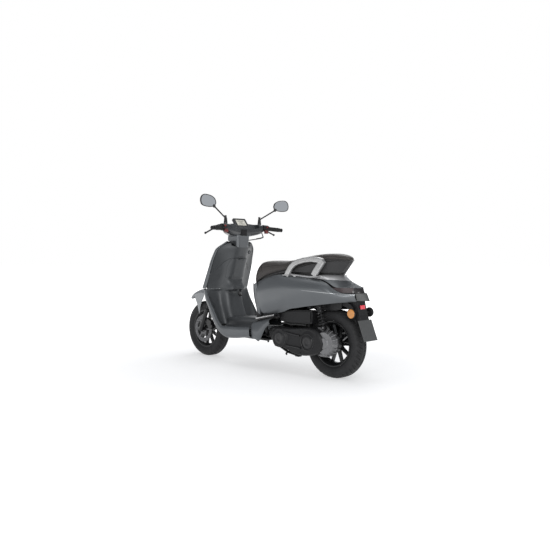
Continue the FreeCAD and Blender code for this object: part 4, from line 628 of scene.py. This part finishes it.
def stitches(cushion, lines):
    """Short thread stitches either side of the sewn lines."""
    tree = BVHTree.FromObject(cushion, bpy.context.evaluated_depsgraph_get())
    verts, faces = [], []
    for line in lines:
        gone = 0.0
        for a, b in zip(line, line[1:]):
            gone += (b - a).length
            if gone < 7.0 or a.x < -690:
                continue
            gone = 0.0
            along = (b - a).normalized()
            for side in (1, -1):
                across = along.cross(tree.find_nearest(a / 1000)[1]).normalized()
                hit = tree.find_nearest(a / 1000 + across * side * 0.0042)
                p, n = hit[0] * 1000, hit[1]
                base = len(verts)
                for s in (-1, 1):
                    for w, h in ((-0.5, -0.2), (-0.35, 0.6), (0.35, 0.6), (0.5, -0.2)):
                        verts.append(p + along * s * 2.1 + across * w + n * h)
                for k in range(3):
                    faces.append((base + k, base + k + 1, base + k + 5, base + k + 4))
                faces += [(base, base + 1, base + 2, base + 3), (base + 7, base + 6, base + 5, base + 4)]
    piece("seat_stitches", verts, faces, THREAD, "seat")


THREAD = finish("thread", (0.10, 0.092, 0.085), 0.7, mottle=0.2, grain=0.3, grain_scale=3000.0,
                round_edge=0.0)
dress_seat()


# ---- tyres
TREAD_BAND = 16       # depth below the crown where the tread pattern ends
TREAD_LEAN = 1.1      # how far the grooves slant, in pitches
GROOVE_DEPTH = 4.2
SIPE_DEPTH = 2.6
RING_DEPTH = 3.0
RING_OFFSET = 13.0    # distance of the two round grooves from the middle


def tread(angle, radius, along, outer, half, pitches):
    """Radius of the tread surface, lower in its slanted grooves, sipes and round grooves."""
    if radius < outer - TREAD_BAND:
        return radius
    side = 1 if along >= 0 else -1
    across = abs(along)
    turns = angle / (2 * math.pi) * pitches + (0.5 if side > 0 else 0.0)
    phase = (turns - TREAD_LEAN * (across / half) ** 1.3) % 1.0
    pitch = 2 * math.pi * outer / pitches
    gap = min(phase, 1 - phase) * pitch
    deep = 0.0
    if 9 < across < half - 4 and gap < 2.6:
        deep = GROOVE_DEPTH
    second = (turns + 0.5 - TREAD_LEAN * 0.8 * (across / half) ** 1.3) % 1.0
    gap = min(second, 1 - second) * pitch
    if 22 < across < half - 12 and gap < 1.2:
        deep = max(deep, SIPE_DEPTH)
    if abs(across - RING_OFFSET) < 1.1:
        deep = max(deep, RING_DEPTH)
    return radius - deep


def tyre_profile(radius, half):
    """Half sections of the carcass from bead to bead, finely divided across the tread."""
    w, r = half, radius
    side = [(158, 35), (158, 42), (163, w - 12), (168, w - 8), (176, w - 4), (184, w - 1.4), (190, w - 0.4),
            (196, w - 0.2), (r - 26, w - 1.6), (r - 21, w - 3), (r - 18, w - 5)]
    crown = [(r - 18, w - 5), (r - 12, w - 10.5), (r - 7, w - 17), (r - 3.6, w - 24), (r - 1.4, 28),
             (r - 0.1, 24.5)]
    fine = rounded([(a, q, 0) for q, a in crown], 5, closed=False)
    flat = [(24.5 - 24.5 * k / 12, r - 0.1) for k in range(1, 13)]
    right = side[:-1] + [(p.y, p.x) for p in fine] + [(q, a) for a, q in flat]
    left = [(q, -a) for q, a in right[::-1][1:]]
    inside = [(164, -34), (172, -w + 14), (192, -w + 10), (r - 26, -w + 14), (r - 18, -w + 21), (r - 12, -24),
              (r - 12, 24), (r - 18, w - 21), (r - 26, w - 14), (192, w - 10), (172, w - 14), (164, 34)]
    return right + left + inside


def dress_tyre(name, node, body, x, radius, half, pitches):
    """A tyre with moulded tread, turned about its axle."""
    profile = tyre_profile(radius, half)
    shape = lathe(name, (x, 0, radius), (0, 1, 0), profile, TYRE, body, "tyre_rubber", count=720, closed=True,
                  ripple=lambda angle, r, along: tread(angle, r, along, radius, half, pitches))
    sharpen(shape, 38)
    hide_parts(node)


dress_tyre("front_tyre_tread", "front_tyre", "front_wheel", 728, 229, 55, 36)
dress_tyre("rear_tyre_tread", "rear_tyre", "rear_wheel", -657, 236, 60, 38)


# ---- mirrors
OUTLINE = ((-79, -4), (-64, 26), (-30, 41.6), (8, 45.2), (48, 43), (72, 28.6), (82, 4), (78, -24), (58, -42),
           (10, -46), (-40, -39), (-69, -24))


def mirror_place(u, v, offset, side):
    """A point of the left mirror's own plane, set in place; the right one is its reflection."""
    tip, turn = math.radians(5), math.radians(5.5)
    across = u * math.cos(tip) - v * math.sin(tip)
    up = u * math.sin(tip) + v * math.cos(tip)
    x = -offset * math.cos(turn) - across * math.sin(turn)
    y = -offset * math.sin(turn) + across * math.cos(turn)
    return Vector((250 + x, (382 + y) * side, 1247 + up))


def mirror_rings(levels, side):
    """Rows of points at (scale, offset) steps of the outline."""
    line = rounded([(u, v, 0) for u, v in OUTLINE], 8)
    return [[mirror_place(p.x * scale, p.y * scale, offset, side) for p in line] for scale, offset in levels]


def mirror_skin(name, levels, side, stuff, body):
    """A skin over the outline, closed at its last row."""
    rows = mirror_rings(levels, side)
    cols = len(rows[0])
    end = tuple((len(rows) - 1) * cols + j for j in range(cols))
    return piece(name, [p for row in rows for p in row], grid_faces(len(rows), cols, closed=True) + [end],
                 stuff, body)


def dress_mirror(side, tag):
    """Shell, glass, the boss that it turns on and the arm."""
    body = tag + "_mirror"
    levels = [(0.915, -2.2), (0.93, -0.2), (0.965, 0.0), (0.99, -0.6), (1.0, -2.2), (1.0, -6.0), (0.985,
                                                                                                  -9.5),
              (0.95, -13.0), (0.88, -17.0), (0.78, -20.2), (0.62, -22.8), (0.4, -23.7), (0.15, -24.0)]
    shell = mirror_skin("mirror_shell_" + tag, levels, side, SHELL, body)
    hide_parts("mirror_head_" + tag)
    levels = [(0.925, -1.6), (0.88, -1.9), (0.6, -2.2), (0.3, -2.35), (0.05, -2.4)]
    face = mirror_skin("mirror_glass_" + tag, levels, side, MIRROR, body)
    modify(face, "SUBSURF", levels=1)
    ball = Vector((262, 318 * side, 1208))
    end = ball + Vector((-4, 26 * side, 16))
    boss = lathe("mirror_boss_" + tag, ball, end - ball,
                 [(9.3, -2), (11.5, -1.5), (12.2, 2), (12.0, 8), (11.0, 15), (9.0, 18)], SHELL, body,
                 "mirror_shell", count=40)
    modify(boss, "SOLIDIFY", thickness=0.0012, offset=-1)
    root = Vector((298, 179 * side, 1128))
    arm = [root + (ball - root) * f for f in (0.04, 0.3, 0.6, 0.96)]
    tube("mirror_arm_skin_" + tag, arm, 5.8, BLACK_ALLOY, tag + "_mirror_arm", "black_alloy")


MIRROR = finish("mirror_glass", (0.86, 0.88, 0.90), 0.06, metal=1.0, mottle=0.03, mottle_scale=3.0,
                spread=0.02, round_edge=0.0)
for way, tag in SIDES:
    dress_mirror(way, tag)


# ---- lamps
LENS = finish("lens_clear", (0.93, 0.95, 0.97), 0.05, mottle=0.04, mottle_scale=20.0, spread=0.02, coat=0.5,
              coat_rough=0.03, round_edge=0.0)
feed(LENS.node_tree.nodes["Principled BSDF"], {"Transmission Weight": 1.0, "IOR": 1.49})
CHROME = finish("chrome_bowl", (0.80, 0.80, 0.82), 0.10, metal=1.0, mottle=0.05, mottle_scale=60.0,
                spread=0.04, round_edge=0.0)
RING_LIGHT = finish("ring_light", (0.90, 0.92, 0.95), 0.25, mottle=0.04, coat=0.5, round_edge=0.0)


LENS_RIM = 40.1
LENS_DOME = 90        # radius of the lens's ball surface
LENS_BACK = 51        # its centre lies this far behind the seat of the lamp


def dress_headlamp():
    """Bezel, fluted bowl, projector, day-light ring and domed lens."""
    at, axis = (385, 0, 1046), (1, 0, 0)
    bezel = lathe("headlamp_bezel", at, axis,
                  [(40.2, 0), (42.3, 0), (42.3, 31), (44.2, 33), (44.9, 35), (44.9, 37.5), (44.0, 39), (41.5,
                                                                                                        39),
                   (40.2, 37), (40.2, 0)], BLACK_ALLOY, "steering", "black_alloy", count=96)
    sharpen(bezel, 40)
    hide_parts("headlamp")
    lathe("headlamp_bowl", at, axis,
          [(12.0, 4.0), (18, 5.0), (25, 8.5), (31, 14), (36, 21), (39.4, 29), (39.8, 31)], CHROME, "steering",
          "lamp_clear", count=192,
          ripple=lambda angle, r, along: r - 0.7 * abs(math.sin(angle * 18)) * min(1, max(0, (r - 14) / 12)))
    for name, profile, stuff, slot, count in (
            ("projector", [(13.0, 3.0), (14.5, 6.0), (15.2, 12.0), (15.2, 18.0), (13.9, 19.0), (12.8, 17.0),
                           (12.6, 8.0)], BLACK_ALLOY, "black_alloy", 64),
            ("eye", [(12.7, 15.0), (12.2, 17.5), (10.5, 20.0), (7.5, 22.2), (4.0, 23.4), (0.3, 23.8)], LENS,
             "lamp_clear", 64),
            ("ring", [(33.5, 22.0), (35.8, 21.0), (38.6, 25.0), (38.2, 28.0), (36.2, 28.6), (33.8, 25.0),
                      (33.5, 22.0)], RING_LIGHT, "lamp_clear", 96)):
        lathe("headlamp_" + name, at, axis, profile, stuff, "steering", slot, count=count)
    cap = []
    for i in range(15):
        r = LENS_RIM * (1 - i / 14) + 0.2
        cap.append((r, math.sqrt(LENS_DOME**2 - r**2) - LENS_BACK))
    under = [(r, a - 2.2) for r, a in cap[::-1]]
    lathe("headlamp_lens", at, axis, cap + under, LENS, "steering", "lamp_clear", count=96, closed=True)


dress_headlamp()


def dress_reflectors():
    """Round side reflectors in black cups and the red rear reflector, with prismatic faces."""
    for side, tag in SIDES:
        at, axis = (-866, 90.3 * side, 459), (0, side, 0)
        cup = lathe("reflector_cup_" + tag, at, axis,
                    [(0.2, 0), (24, 0), (29.5, 1.5), (32.4, 5.0), (32.9, 9.5), (32.4, 12.6), (31.2, 13.2),
                     (30.2, 12.6), (29.9, 10.5), (0.2, 10.5)], BLACK, "chassis", "black_plastic", count=96)
        sharpen(cup, 40)
        lathe("reflector_amber_" + tag, at, axis,
              [(30.0, 10.7), (29.8, 12.2), (28.6, 13.1), (24.0, 13.5), (14.0, 13.6), (0.2, 13.65)], AMBER_DIM,
              "chassis", "signal_amber", count=72)
        if side > 0:
            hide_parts("reflectors")
    lean = ((0.105, 0, 0.994), (0, 1, 0), (-0.994, 0, 0.105))
    rounded_box("rear_reflector_red", (-884.6, 0, 498), lean, (13, 24, 2.2), 1.0, LENS_RED, "chassis")


PLAIN = ((1, 0, 0), (0, 1, 0), (0, 0, 1))
SIDEWAYS = ((1, 0, 0), (0, 0, 1), (0, 1, 0))
REARWARD = ((0, 0, 1), (0, 1, 0), (-1, 0, 0))


def rounded_box(name, centre, axes, halves, radius, stuff, body, segments=4):
    """A softly rounded block, from its three axes and its half size along each."""
    shape = bmesh.new()
    bmesh.ops.create_cube(shape, size=2.0)
    u, v, w = [Vector(axis).normalized() for axis in axes]
    for vert in shape.verts:
        vert.co = (Vector(centre) + u * vert.co.x * halves[0] + v * vert.co.y * halves[1]
                   + w * vert.co.z * halves[2]) / 1000
    bmesh.ops.bevel(shape, geom=list(shape.edges) + list(shape.verts), offset=radius / 1000,
                    segments=segments, profile=0.6, affect="EDGES")
    mesh = bpy.data.meshes.new(name)
    shape.to_mesh(mesh)
    shape.free()
    thing = add_object(name, mesh)
    mesh.materials.append(stuff)
    smooth(mesh)
    sharpen(thing, 50)
    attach(thing, body)
    return thing


# ---- panels in two finishes
body_of = {}
for name, members in frame["record"]["behaviour"]["bodies"].items():
    for part in members:
        body_of[part] = name


def repaint(name, node, stuffs, choose, planes=()):
    """A new mesh on a panel's own surface, split along planes and finished in several materials."""
    shape = bmesh.new()
    shape.from_mesh(nodes[node].data)
    bmesh.ops.remove_doubles(shape, verts=shape.verts, dist=2e-6)
    for place, normal in planes:
        bmesh.ops.bisect_plane(shape, geom=shape.verts[:] + shape.edges[:] + shape.faces[:], dist=1e-6,
                               plane_co=Vector(place) / 1000, plane_no=normal)
    shape.normal_update()
    for face in shape.faces:
        face.smooth = True
        face.material_index = choose(face.calc_center_median() * 1000)
    mesh = bpy.data.meshes.new(name)
    for stuff in stuffs:
        mesh.materials.append(stuff)
    shape.to_mesh(mesh)
    shape.free()
    thing = add_object(name, mesh)
    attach(thing, body_of[node])
    sharpen(thing, 28)
    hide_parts(node)


def line_plane(x0, z0, x1, z1):
    """A plane across the scooter through two points of its side view, facing up."""
    run = Vector((x1 - x0, 0, z1 - z0))
    up = Vector((-run.z, 0, run.x)) if run.x > 0 else Vector((run.z, 0, -run.x))
    return (x0, 0, z0), up.normalized()


def above(point, plane):
    """Whether a point is on the upper side of a plane."""
    return (point - Vector(plane[0])).dot(plane[1]) > 0


# deck behind the seat: bright above the feature line, body colour below it
DECK_START = -606
DECK_LINE = line_plane(-604, 684, -799, 668)
repaint("tail_deck", "tail_cover", [DECK, PAINT],
        lambda p: 0 if p.x > DECK_START or above(p, DECK_LINE) else 1,
        [DECK_LINE, ((DECK_START, 0, 0), (1, 0, 0))])

# smoked lamp: a dark facet at each front corner and a near-black rear end
LAMP_END = -846
LAMP_FACET_END = -792
LAMP_FACET = line_plane(-790, 593, -712, 624)
repaint("tail_lamp_lens", "tail_lamp", [SMOKE, LAMP_DARK],
        lambda p: 1 if p.x < LAMP_END or not above(p, LAMP_FACET) and p.x > LAMP_FACET_END else 0,
        [LAMP_FACET, ((LAMP_END, 0, 0), (1, 0, 0))])

# body sides: a bright pointed streak that runs back along the widest line
STREAK_START = -505
STREAK_HIGH = line_plane(STREAK_START, 604, -866, 584)
STREAK_LOW = line_plane(STREAK_START, 603, -866, 577)
repaint("side_panel_streak", "side_panels", [PAINT, STREAK_SILVER_AND_LEDGE_HIGHLIGHT],
        lambda p: 1 if p.x < STREAK_START and above(p, STREAK_LOW) and not above(p, STREAK_HIGH) else 0,
        [STREAK_HIGH, STREAK_LOW, ((STREAK_START, 0, 0), (1, 0, 0))])


# ---- display
def dress_display():
    """Pale screen with three blank bars."""
    turn = math.atan2(68, 51)
    out = Vector((-math.sin(turn), 0, math.cos(turn)))
    down = Vector((math.cos(turn), 0, math.sin(turn)))
    axes = (down, (0, 1, 0), out)
    at = Vector((320, 0, 1100))
    rounded_box("display_screen", at + out * 0.1, axes, (27, 46, 0.9), 0.8, SCREEN, "steering")
    for row, wide in ((-13, 26), (2, 16), (15, 30)):
        rounded_box("display_mark_%d" % (row + 15), at + out * 1.2 + down * row, axes, (2.2, wide, 0.35), 0.3,
                    SCREEN_MARK, "steering")


dress_display()
dress_reflectors()


# ---- handlebar and switches
NECK_TOP = 1008
NECK_HALF = 72
repaint("handlebar_shell", "handlebar_cover", [COVER_DARK, PAINT],
        lambda p: 1 if p.z < NECK_TOP and abs(p.y) < NECK_HALF or p.z < NECK_TOP - 8 else 0,
        [((0, 0, NECK_TOP), (0, 0, 1)), ((0, NECK_HALF, 0), (0, 1, 0)), ((0, -NECK_HALF, 0), (0, 1, 0))])


def dress_mirror_posts():
    """Tapered rubber boot at the foot of each mirror arm."""
    for side, tag in SIDES:
        at = (298, 179 * side, 1097.5)
        boot = lathe("mirror_boot_" + tag, at, (0, 0, 1),
                     [(10.8, 0.2), (14.6, 0.3), (14.8, 3.5), (13.6, 5), (13.2, 12), (12.2, 20), (11.6, 28),
                      (11.9, 31), (11.2, 33), (9.2, 33.4)], RUBBER, tag + "_mirror_arm", "grip_rubber",
                     count=48)
        sharpen(boot, 40)


def dress_switches():
    """Red switch block with a rocker on the inner end of each housing."""
    for side, tag in SIDES:
        at = Vector((252, 212 * side, 1030))
        rounded_box("switch_block_" + tag, at, REARWARD, (15, 15, 10), 5, RED_DARK, "steering")
        rounded_box("switch_rocker_" + tag, at + Vector((-10.5, 0, -2)), ((0, 0.3, 1), (0, 1, 0), (-1, 0, 0)),
                    (6, 8, 2.6), 1.6, RED, "steering")


# ---- leg shield
BEAD_LIFT = 1.2       # how far a bead stands proud of the shield


def shield_line(points, name, radius, stuff):
    """A raised bead on the rider's side of the leg shield; a dark one paints the shade line under a step
    edge, a silver one paints the highlight along an edge.
    """
    tree = BVHTree.FromObject(nodes["inner_leg_shield"], bpy.context.evaluated_depsgraph_get())
    out = []
    for y, z in points:
        hit = tree.ray_cast(Vector((0.1, y / 1000, z / 1000)), Vector((1, 0, 0)))
        if hit[0] is not None:
            out.append((hit[0].x * 1000 - BEAD_LIFT + radius, y, z))
    tube(name, out, radius, stuff, "chassis", "shield_plastic")


# ---- under tray
def under_tray():
    """Black tray under the seat frame, with cross ribs, that closes the space above the mudguard."""
    rows = []
    for i in range(30):
        x = -470 - 330 * i / 29
        half = 96 if x > -740 else 96 - (-740 - x) * 0.75
        low = 528 if x > -760 else 528 - (-760 - x) * 0.05
        rib = 2.5 if i % 5 == 0 else 0.0
        rows.append([(x, half, 574), (x, half, 552), (x, half - 12, low + 4 - rib), (x, 40, low - rib),
                     (x, 0, low - rib), (x, -40, low - rib), (x, -half + 12, low + 4 - rib), (x, -half, 552),
                     (x, -half, 574), (x, 0, 574)])
    tray = piece("under_tray", [p for row in rows for p in row], grid_faces(len(rows), 10, closed=True,
                                                                            ends=True),
                 BLACK, "chassis")
    sharpen(tray, 40)


dress_mirror_posts()
dress_switches()
under_tray()
# The arch bead is near-black to paint the shade line under the step edge of the shield.
ARCH = ((172, 720), (158, 742), (138, 768), (112, 796), (86, 815), (60, 826), (30, 830), (0, 831))
shield_line(list(ARCH) + [(-y, z) for y, z in ARCH[-2::-1]], "shield_arch", 1.7, SHIELD_SHADE_LINE)
# Silver beads along the ledge under the glove box paint the highlight on its edge.
for way, tag in SIDES:
    shield_line([(y * way, 576) for y in range(112, 204, 6)], "shield_ledge_highlight_" + tag, 2.0, STREAK_SILVER_AND_LEDGE_HIGHLIGHT)


# ---- levers, mirror rims and small trim
def dress_lever(side, tag):
    """Lever blade that droops to a ball end, with the eye that it pivots on."""
    pivot = Vector((317.2, 226 * side, 1054.5))
    path = [(0, 0, 0), (11, 24, -3), (13, 48, -9), (10, 72, -18), (5, 97, -28), (1, 120, -38), (0, 136, -44)]
    line = [pivot + Vector((x, y * side, z)) for x, y, z in path]
    blade = tube("lever_blade_" + tag, line, 6.2, BLACK_ALLOY, tag + "_lever", "black_alloy")
    lathe("lever_eye_" + tag, pivot + Vector((0, 0, -6)), (0, 0, 1),
          [(0.2, 0), (9.5, 0), (11, 1.2), (11, 10.8), (9.5, 12), (0.2, 12)], BLACK_ALLOY, tag + "_lever",
          "black_alloy", count=32)
    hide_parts("brake_lever_" + tag)
    lathe("lever_ball_" + tag, line[-1], (0, side, -0.25),
          [(0.2, -9), (5.5, -7.4), (8.4, -3.6), (9.2, 0), (8.4, 3.6), (5.5, 7.4), (0.2, 9)], BLACK_ALLOY,
          tag + "_lever", "black_alloy", count=32)


RIM_SCALE = 0.955     # size of the rim against the mirror's outline


def mirror_rim(side, tag):
    """Dark moulded rim round the glass."""
    line = rounded([(u, v, 0) for u, v in OUTLINE], 5)
    points = [mirror_place(p.x * RIM_SCALE, p.y * RIM_SCALE, -1.2, side) for p in line]
    tube("mirror_rim_" + tag, points, 3.0, BLACK, tag + "_mirror", "mirror_shell", cyclic=True)


def plate_piece(name, outline, y, thick, stuff, body, edge=1.2):
    """A flat moulding with softened edges, its outline given in side view."""
    n = len(outline)
    cx = sum(p[0] for p in outline) / n
    cz = sum(p[1] for p in outline) / n
    verts = []
    for depth, shrink in ((0.0, 1.0), (edge, 0.0), (thick - edge, 0.0), (thick, 1.0)):
        for x, z in outline:
            run = Vector((x - cx, 0, z - cz))
            run = run * (1 - edge * shrink / max(run.length, 1))
            verts.append((cx + run.x, y + depth, cz + run.z))
    return sharpen(piece(name, verts, grid_faces(4, n, closed=True, ends=True), stuff, body), 50)


def dress_underside():
    """Wheel arch liners, filler behind the floor, seat gasket and exhaust heat guard."""
    liner = [(-470, 566), (-470, 480), (-540, 462), (-600, 462), (-660, 466), (-720, 470), (-758, 480),
             (-770, 566)]
    for y, tag in ((65.5, "left"), (-68.5, "right")):
        plate_piece("wheel_liner_" + tag, liner, y, 3.0, BLACK, "chassis", 0.8)
    rounded_box("floor_filler", (-148, 0, 405), PLAIN, (84, 138, 22), 6, BLACK, "chassis")
    rows = []
    for x, half in ((-598, 98), (-625, 88), (-650, 77), (-672, 62), (-690, 49), (-706, 38), (-716, 30)):
        rows.append([(x, half * f, z) for f, z in ((1, 726), (1, 718), (0.96, 715.8), (0, 715.6), (-0.96,
                                                                                                   715.8),
                                                   (-1, 718), (-1, 726))])
    sharpen(piece("seat_gasket", [p for row in rows for p in row], grid_faces(len(rows), 7, closed=True,
                                                                              ends=True),
                  RUBBER, "seat"), 40)
    guard = [(-420, 214), (-424, 300), (-452, 336), (-520, 352), (-600, 350), (-640, 330), (-648, 262),
             (-600, 210), (-500, 196)]
    plate_piece("exhaust_guard", guard, -183, 4.0, BLACK_ALLOY, "engine_unit", 1.5)
    for x, z in ((-448, 232), (-610, 330), (-600, 228), (-460, 318)):
        rounded_box("guard_bolt_%d_%d" % (-x, z), (x, -184, z), SIDEWAYS, (5, 5, 2.5), 1.5, BRIGHT,
                    "engine_unit", segments=3)


for way, tag in SIDES:
    dress_lever(way, tag)
    mirror_rim(way, tag)
dress_underside()


# ---- engine trim, seals and reservoirs
def dress_engine():
    """Beads, hub caps and ribs on the transmission cover, an engine shroud and a breather hose."""
    cover = (BLACK_ALLOY, "engine_unit", "black_plastic")
    for tag, x, z, radius in (("front", -276, 254, 64), ("rear", -546, 248, 57)):
        turns = [2 * math.pi * i / 28 for i in range(28)]
        bead = [(x + radius * math.cos(a), 171.5, z + radius * math.sin(a)) for a in turns]
        tube("cvt_bead_" + tag, bead, 3.2, *cover, cyclic=True)
        lathe("cvt_cap_" + tag, (x, 169.0, z), (0, 1, 0),
              [(46, 0), (45, 3.0), (40, 5.4), (24, 6.6), (20, 5.0), (8, 5.0), (0.2, 5.4)], *cover, count=64)
    tube("cvt_rib_top", [(-330, 166, 300), (-400, 167, 290), (-470, 167, 286)], 6.0, *cover)
    tube("cvt_rib_low", [(-340, 165, 206), (-410, 167, 204), (-476, 166, 200)], 6.0, *cover)
    shroud = [(-240, 328), (-240, 412), (-300, 428), (-470, 420), (-476, 344), (-470, 330)]
    plate_piece("engine_shroud", shroud, 48, 4.0, BLACK, "engine_unit", 1.0)
    hose = [(-250, 120, 352), (-300, 132, 364), (-360, 138, 352), (-430, 138, 362), (-500, 130, 356)]
    tube("breather_hose", hose, 7.0, HOSE, "engine_unit", "hose_rubber")


def dress_seals():
    """Seals under the seat base, trim at the front edge of the body sides, and the brake reservoirs."""
    strip = [(-392, 690), (-392, 714), (-470, 727), (-520, 727), (-604, 722), (-604, 690)]
    for y, tag in ((104, "left"), (-108, "right")):
        plate_piece("seat_seal_" + tag, strip, y, 4.0, RUBBER, "chassis", 0.8)
    for side, tag in SIDES:
        seam = [(-36 - (646 - z) * 42 / 230, 172 * side, z) for z in range(412, 650, 12)]
        tube("nose_seam_" + tag, seam, 7.0, PAINT, "chassis", "paint_graphite")
        rounded_box("nose_foot_" + tag, (-58, 150 * side, 412), PLAIN, (34, 24, 10), 5, BLACK, "chassis")
        rounded_box("reservoir_" + tag, (292, 250 * side, 1056), ((1, 0, -0.2), (0, 1, 0), (0.2, 0, 1)),
                    (24, 22, 19), 8, BLACK, "steering")


def dress_hose():
    """Brake hose with a protective sleeve over its middle."""
    path = [(311.2, -210, 1043), (288, -205, 1004), (252, -180, 985), (236, -130, 975), (270, -92, 967),
            (318, -69.5, 960)]
    hose = tube("brake_hose_skin", path, 3.8, HOSE, "steering", "hose_rubber")
    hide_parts("brake_cable")
    tube("brake_hose_sleeve", [(262, -188, 989), (245, -160, 981), (243, -128, 976), (256, -104, 971)], 5.4,
         HOSE, "steering", "hose_rubber")


dress_engine()
dress_seals()
dress_hose()
PEG_LINE = line_plane(-246.0, 415.0, -62.0, 376.0)
PEG_INNER = 184
for way, tag in SIDES:
    repaint("footrest_grip_" + tag, "footrest_" + tag, [BLACK_ALLOY, RAIL],
            lambda p: 1 if above(p, PEG_LINE) and abs(p.y) > PEG_INNER else 0, [PEG_LINE])
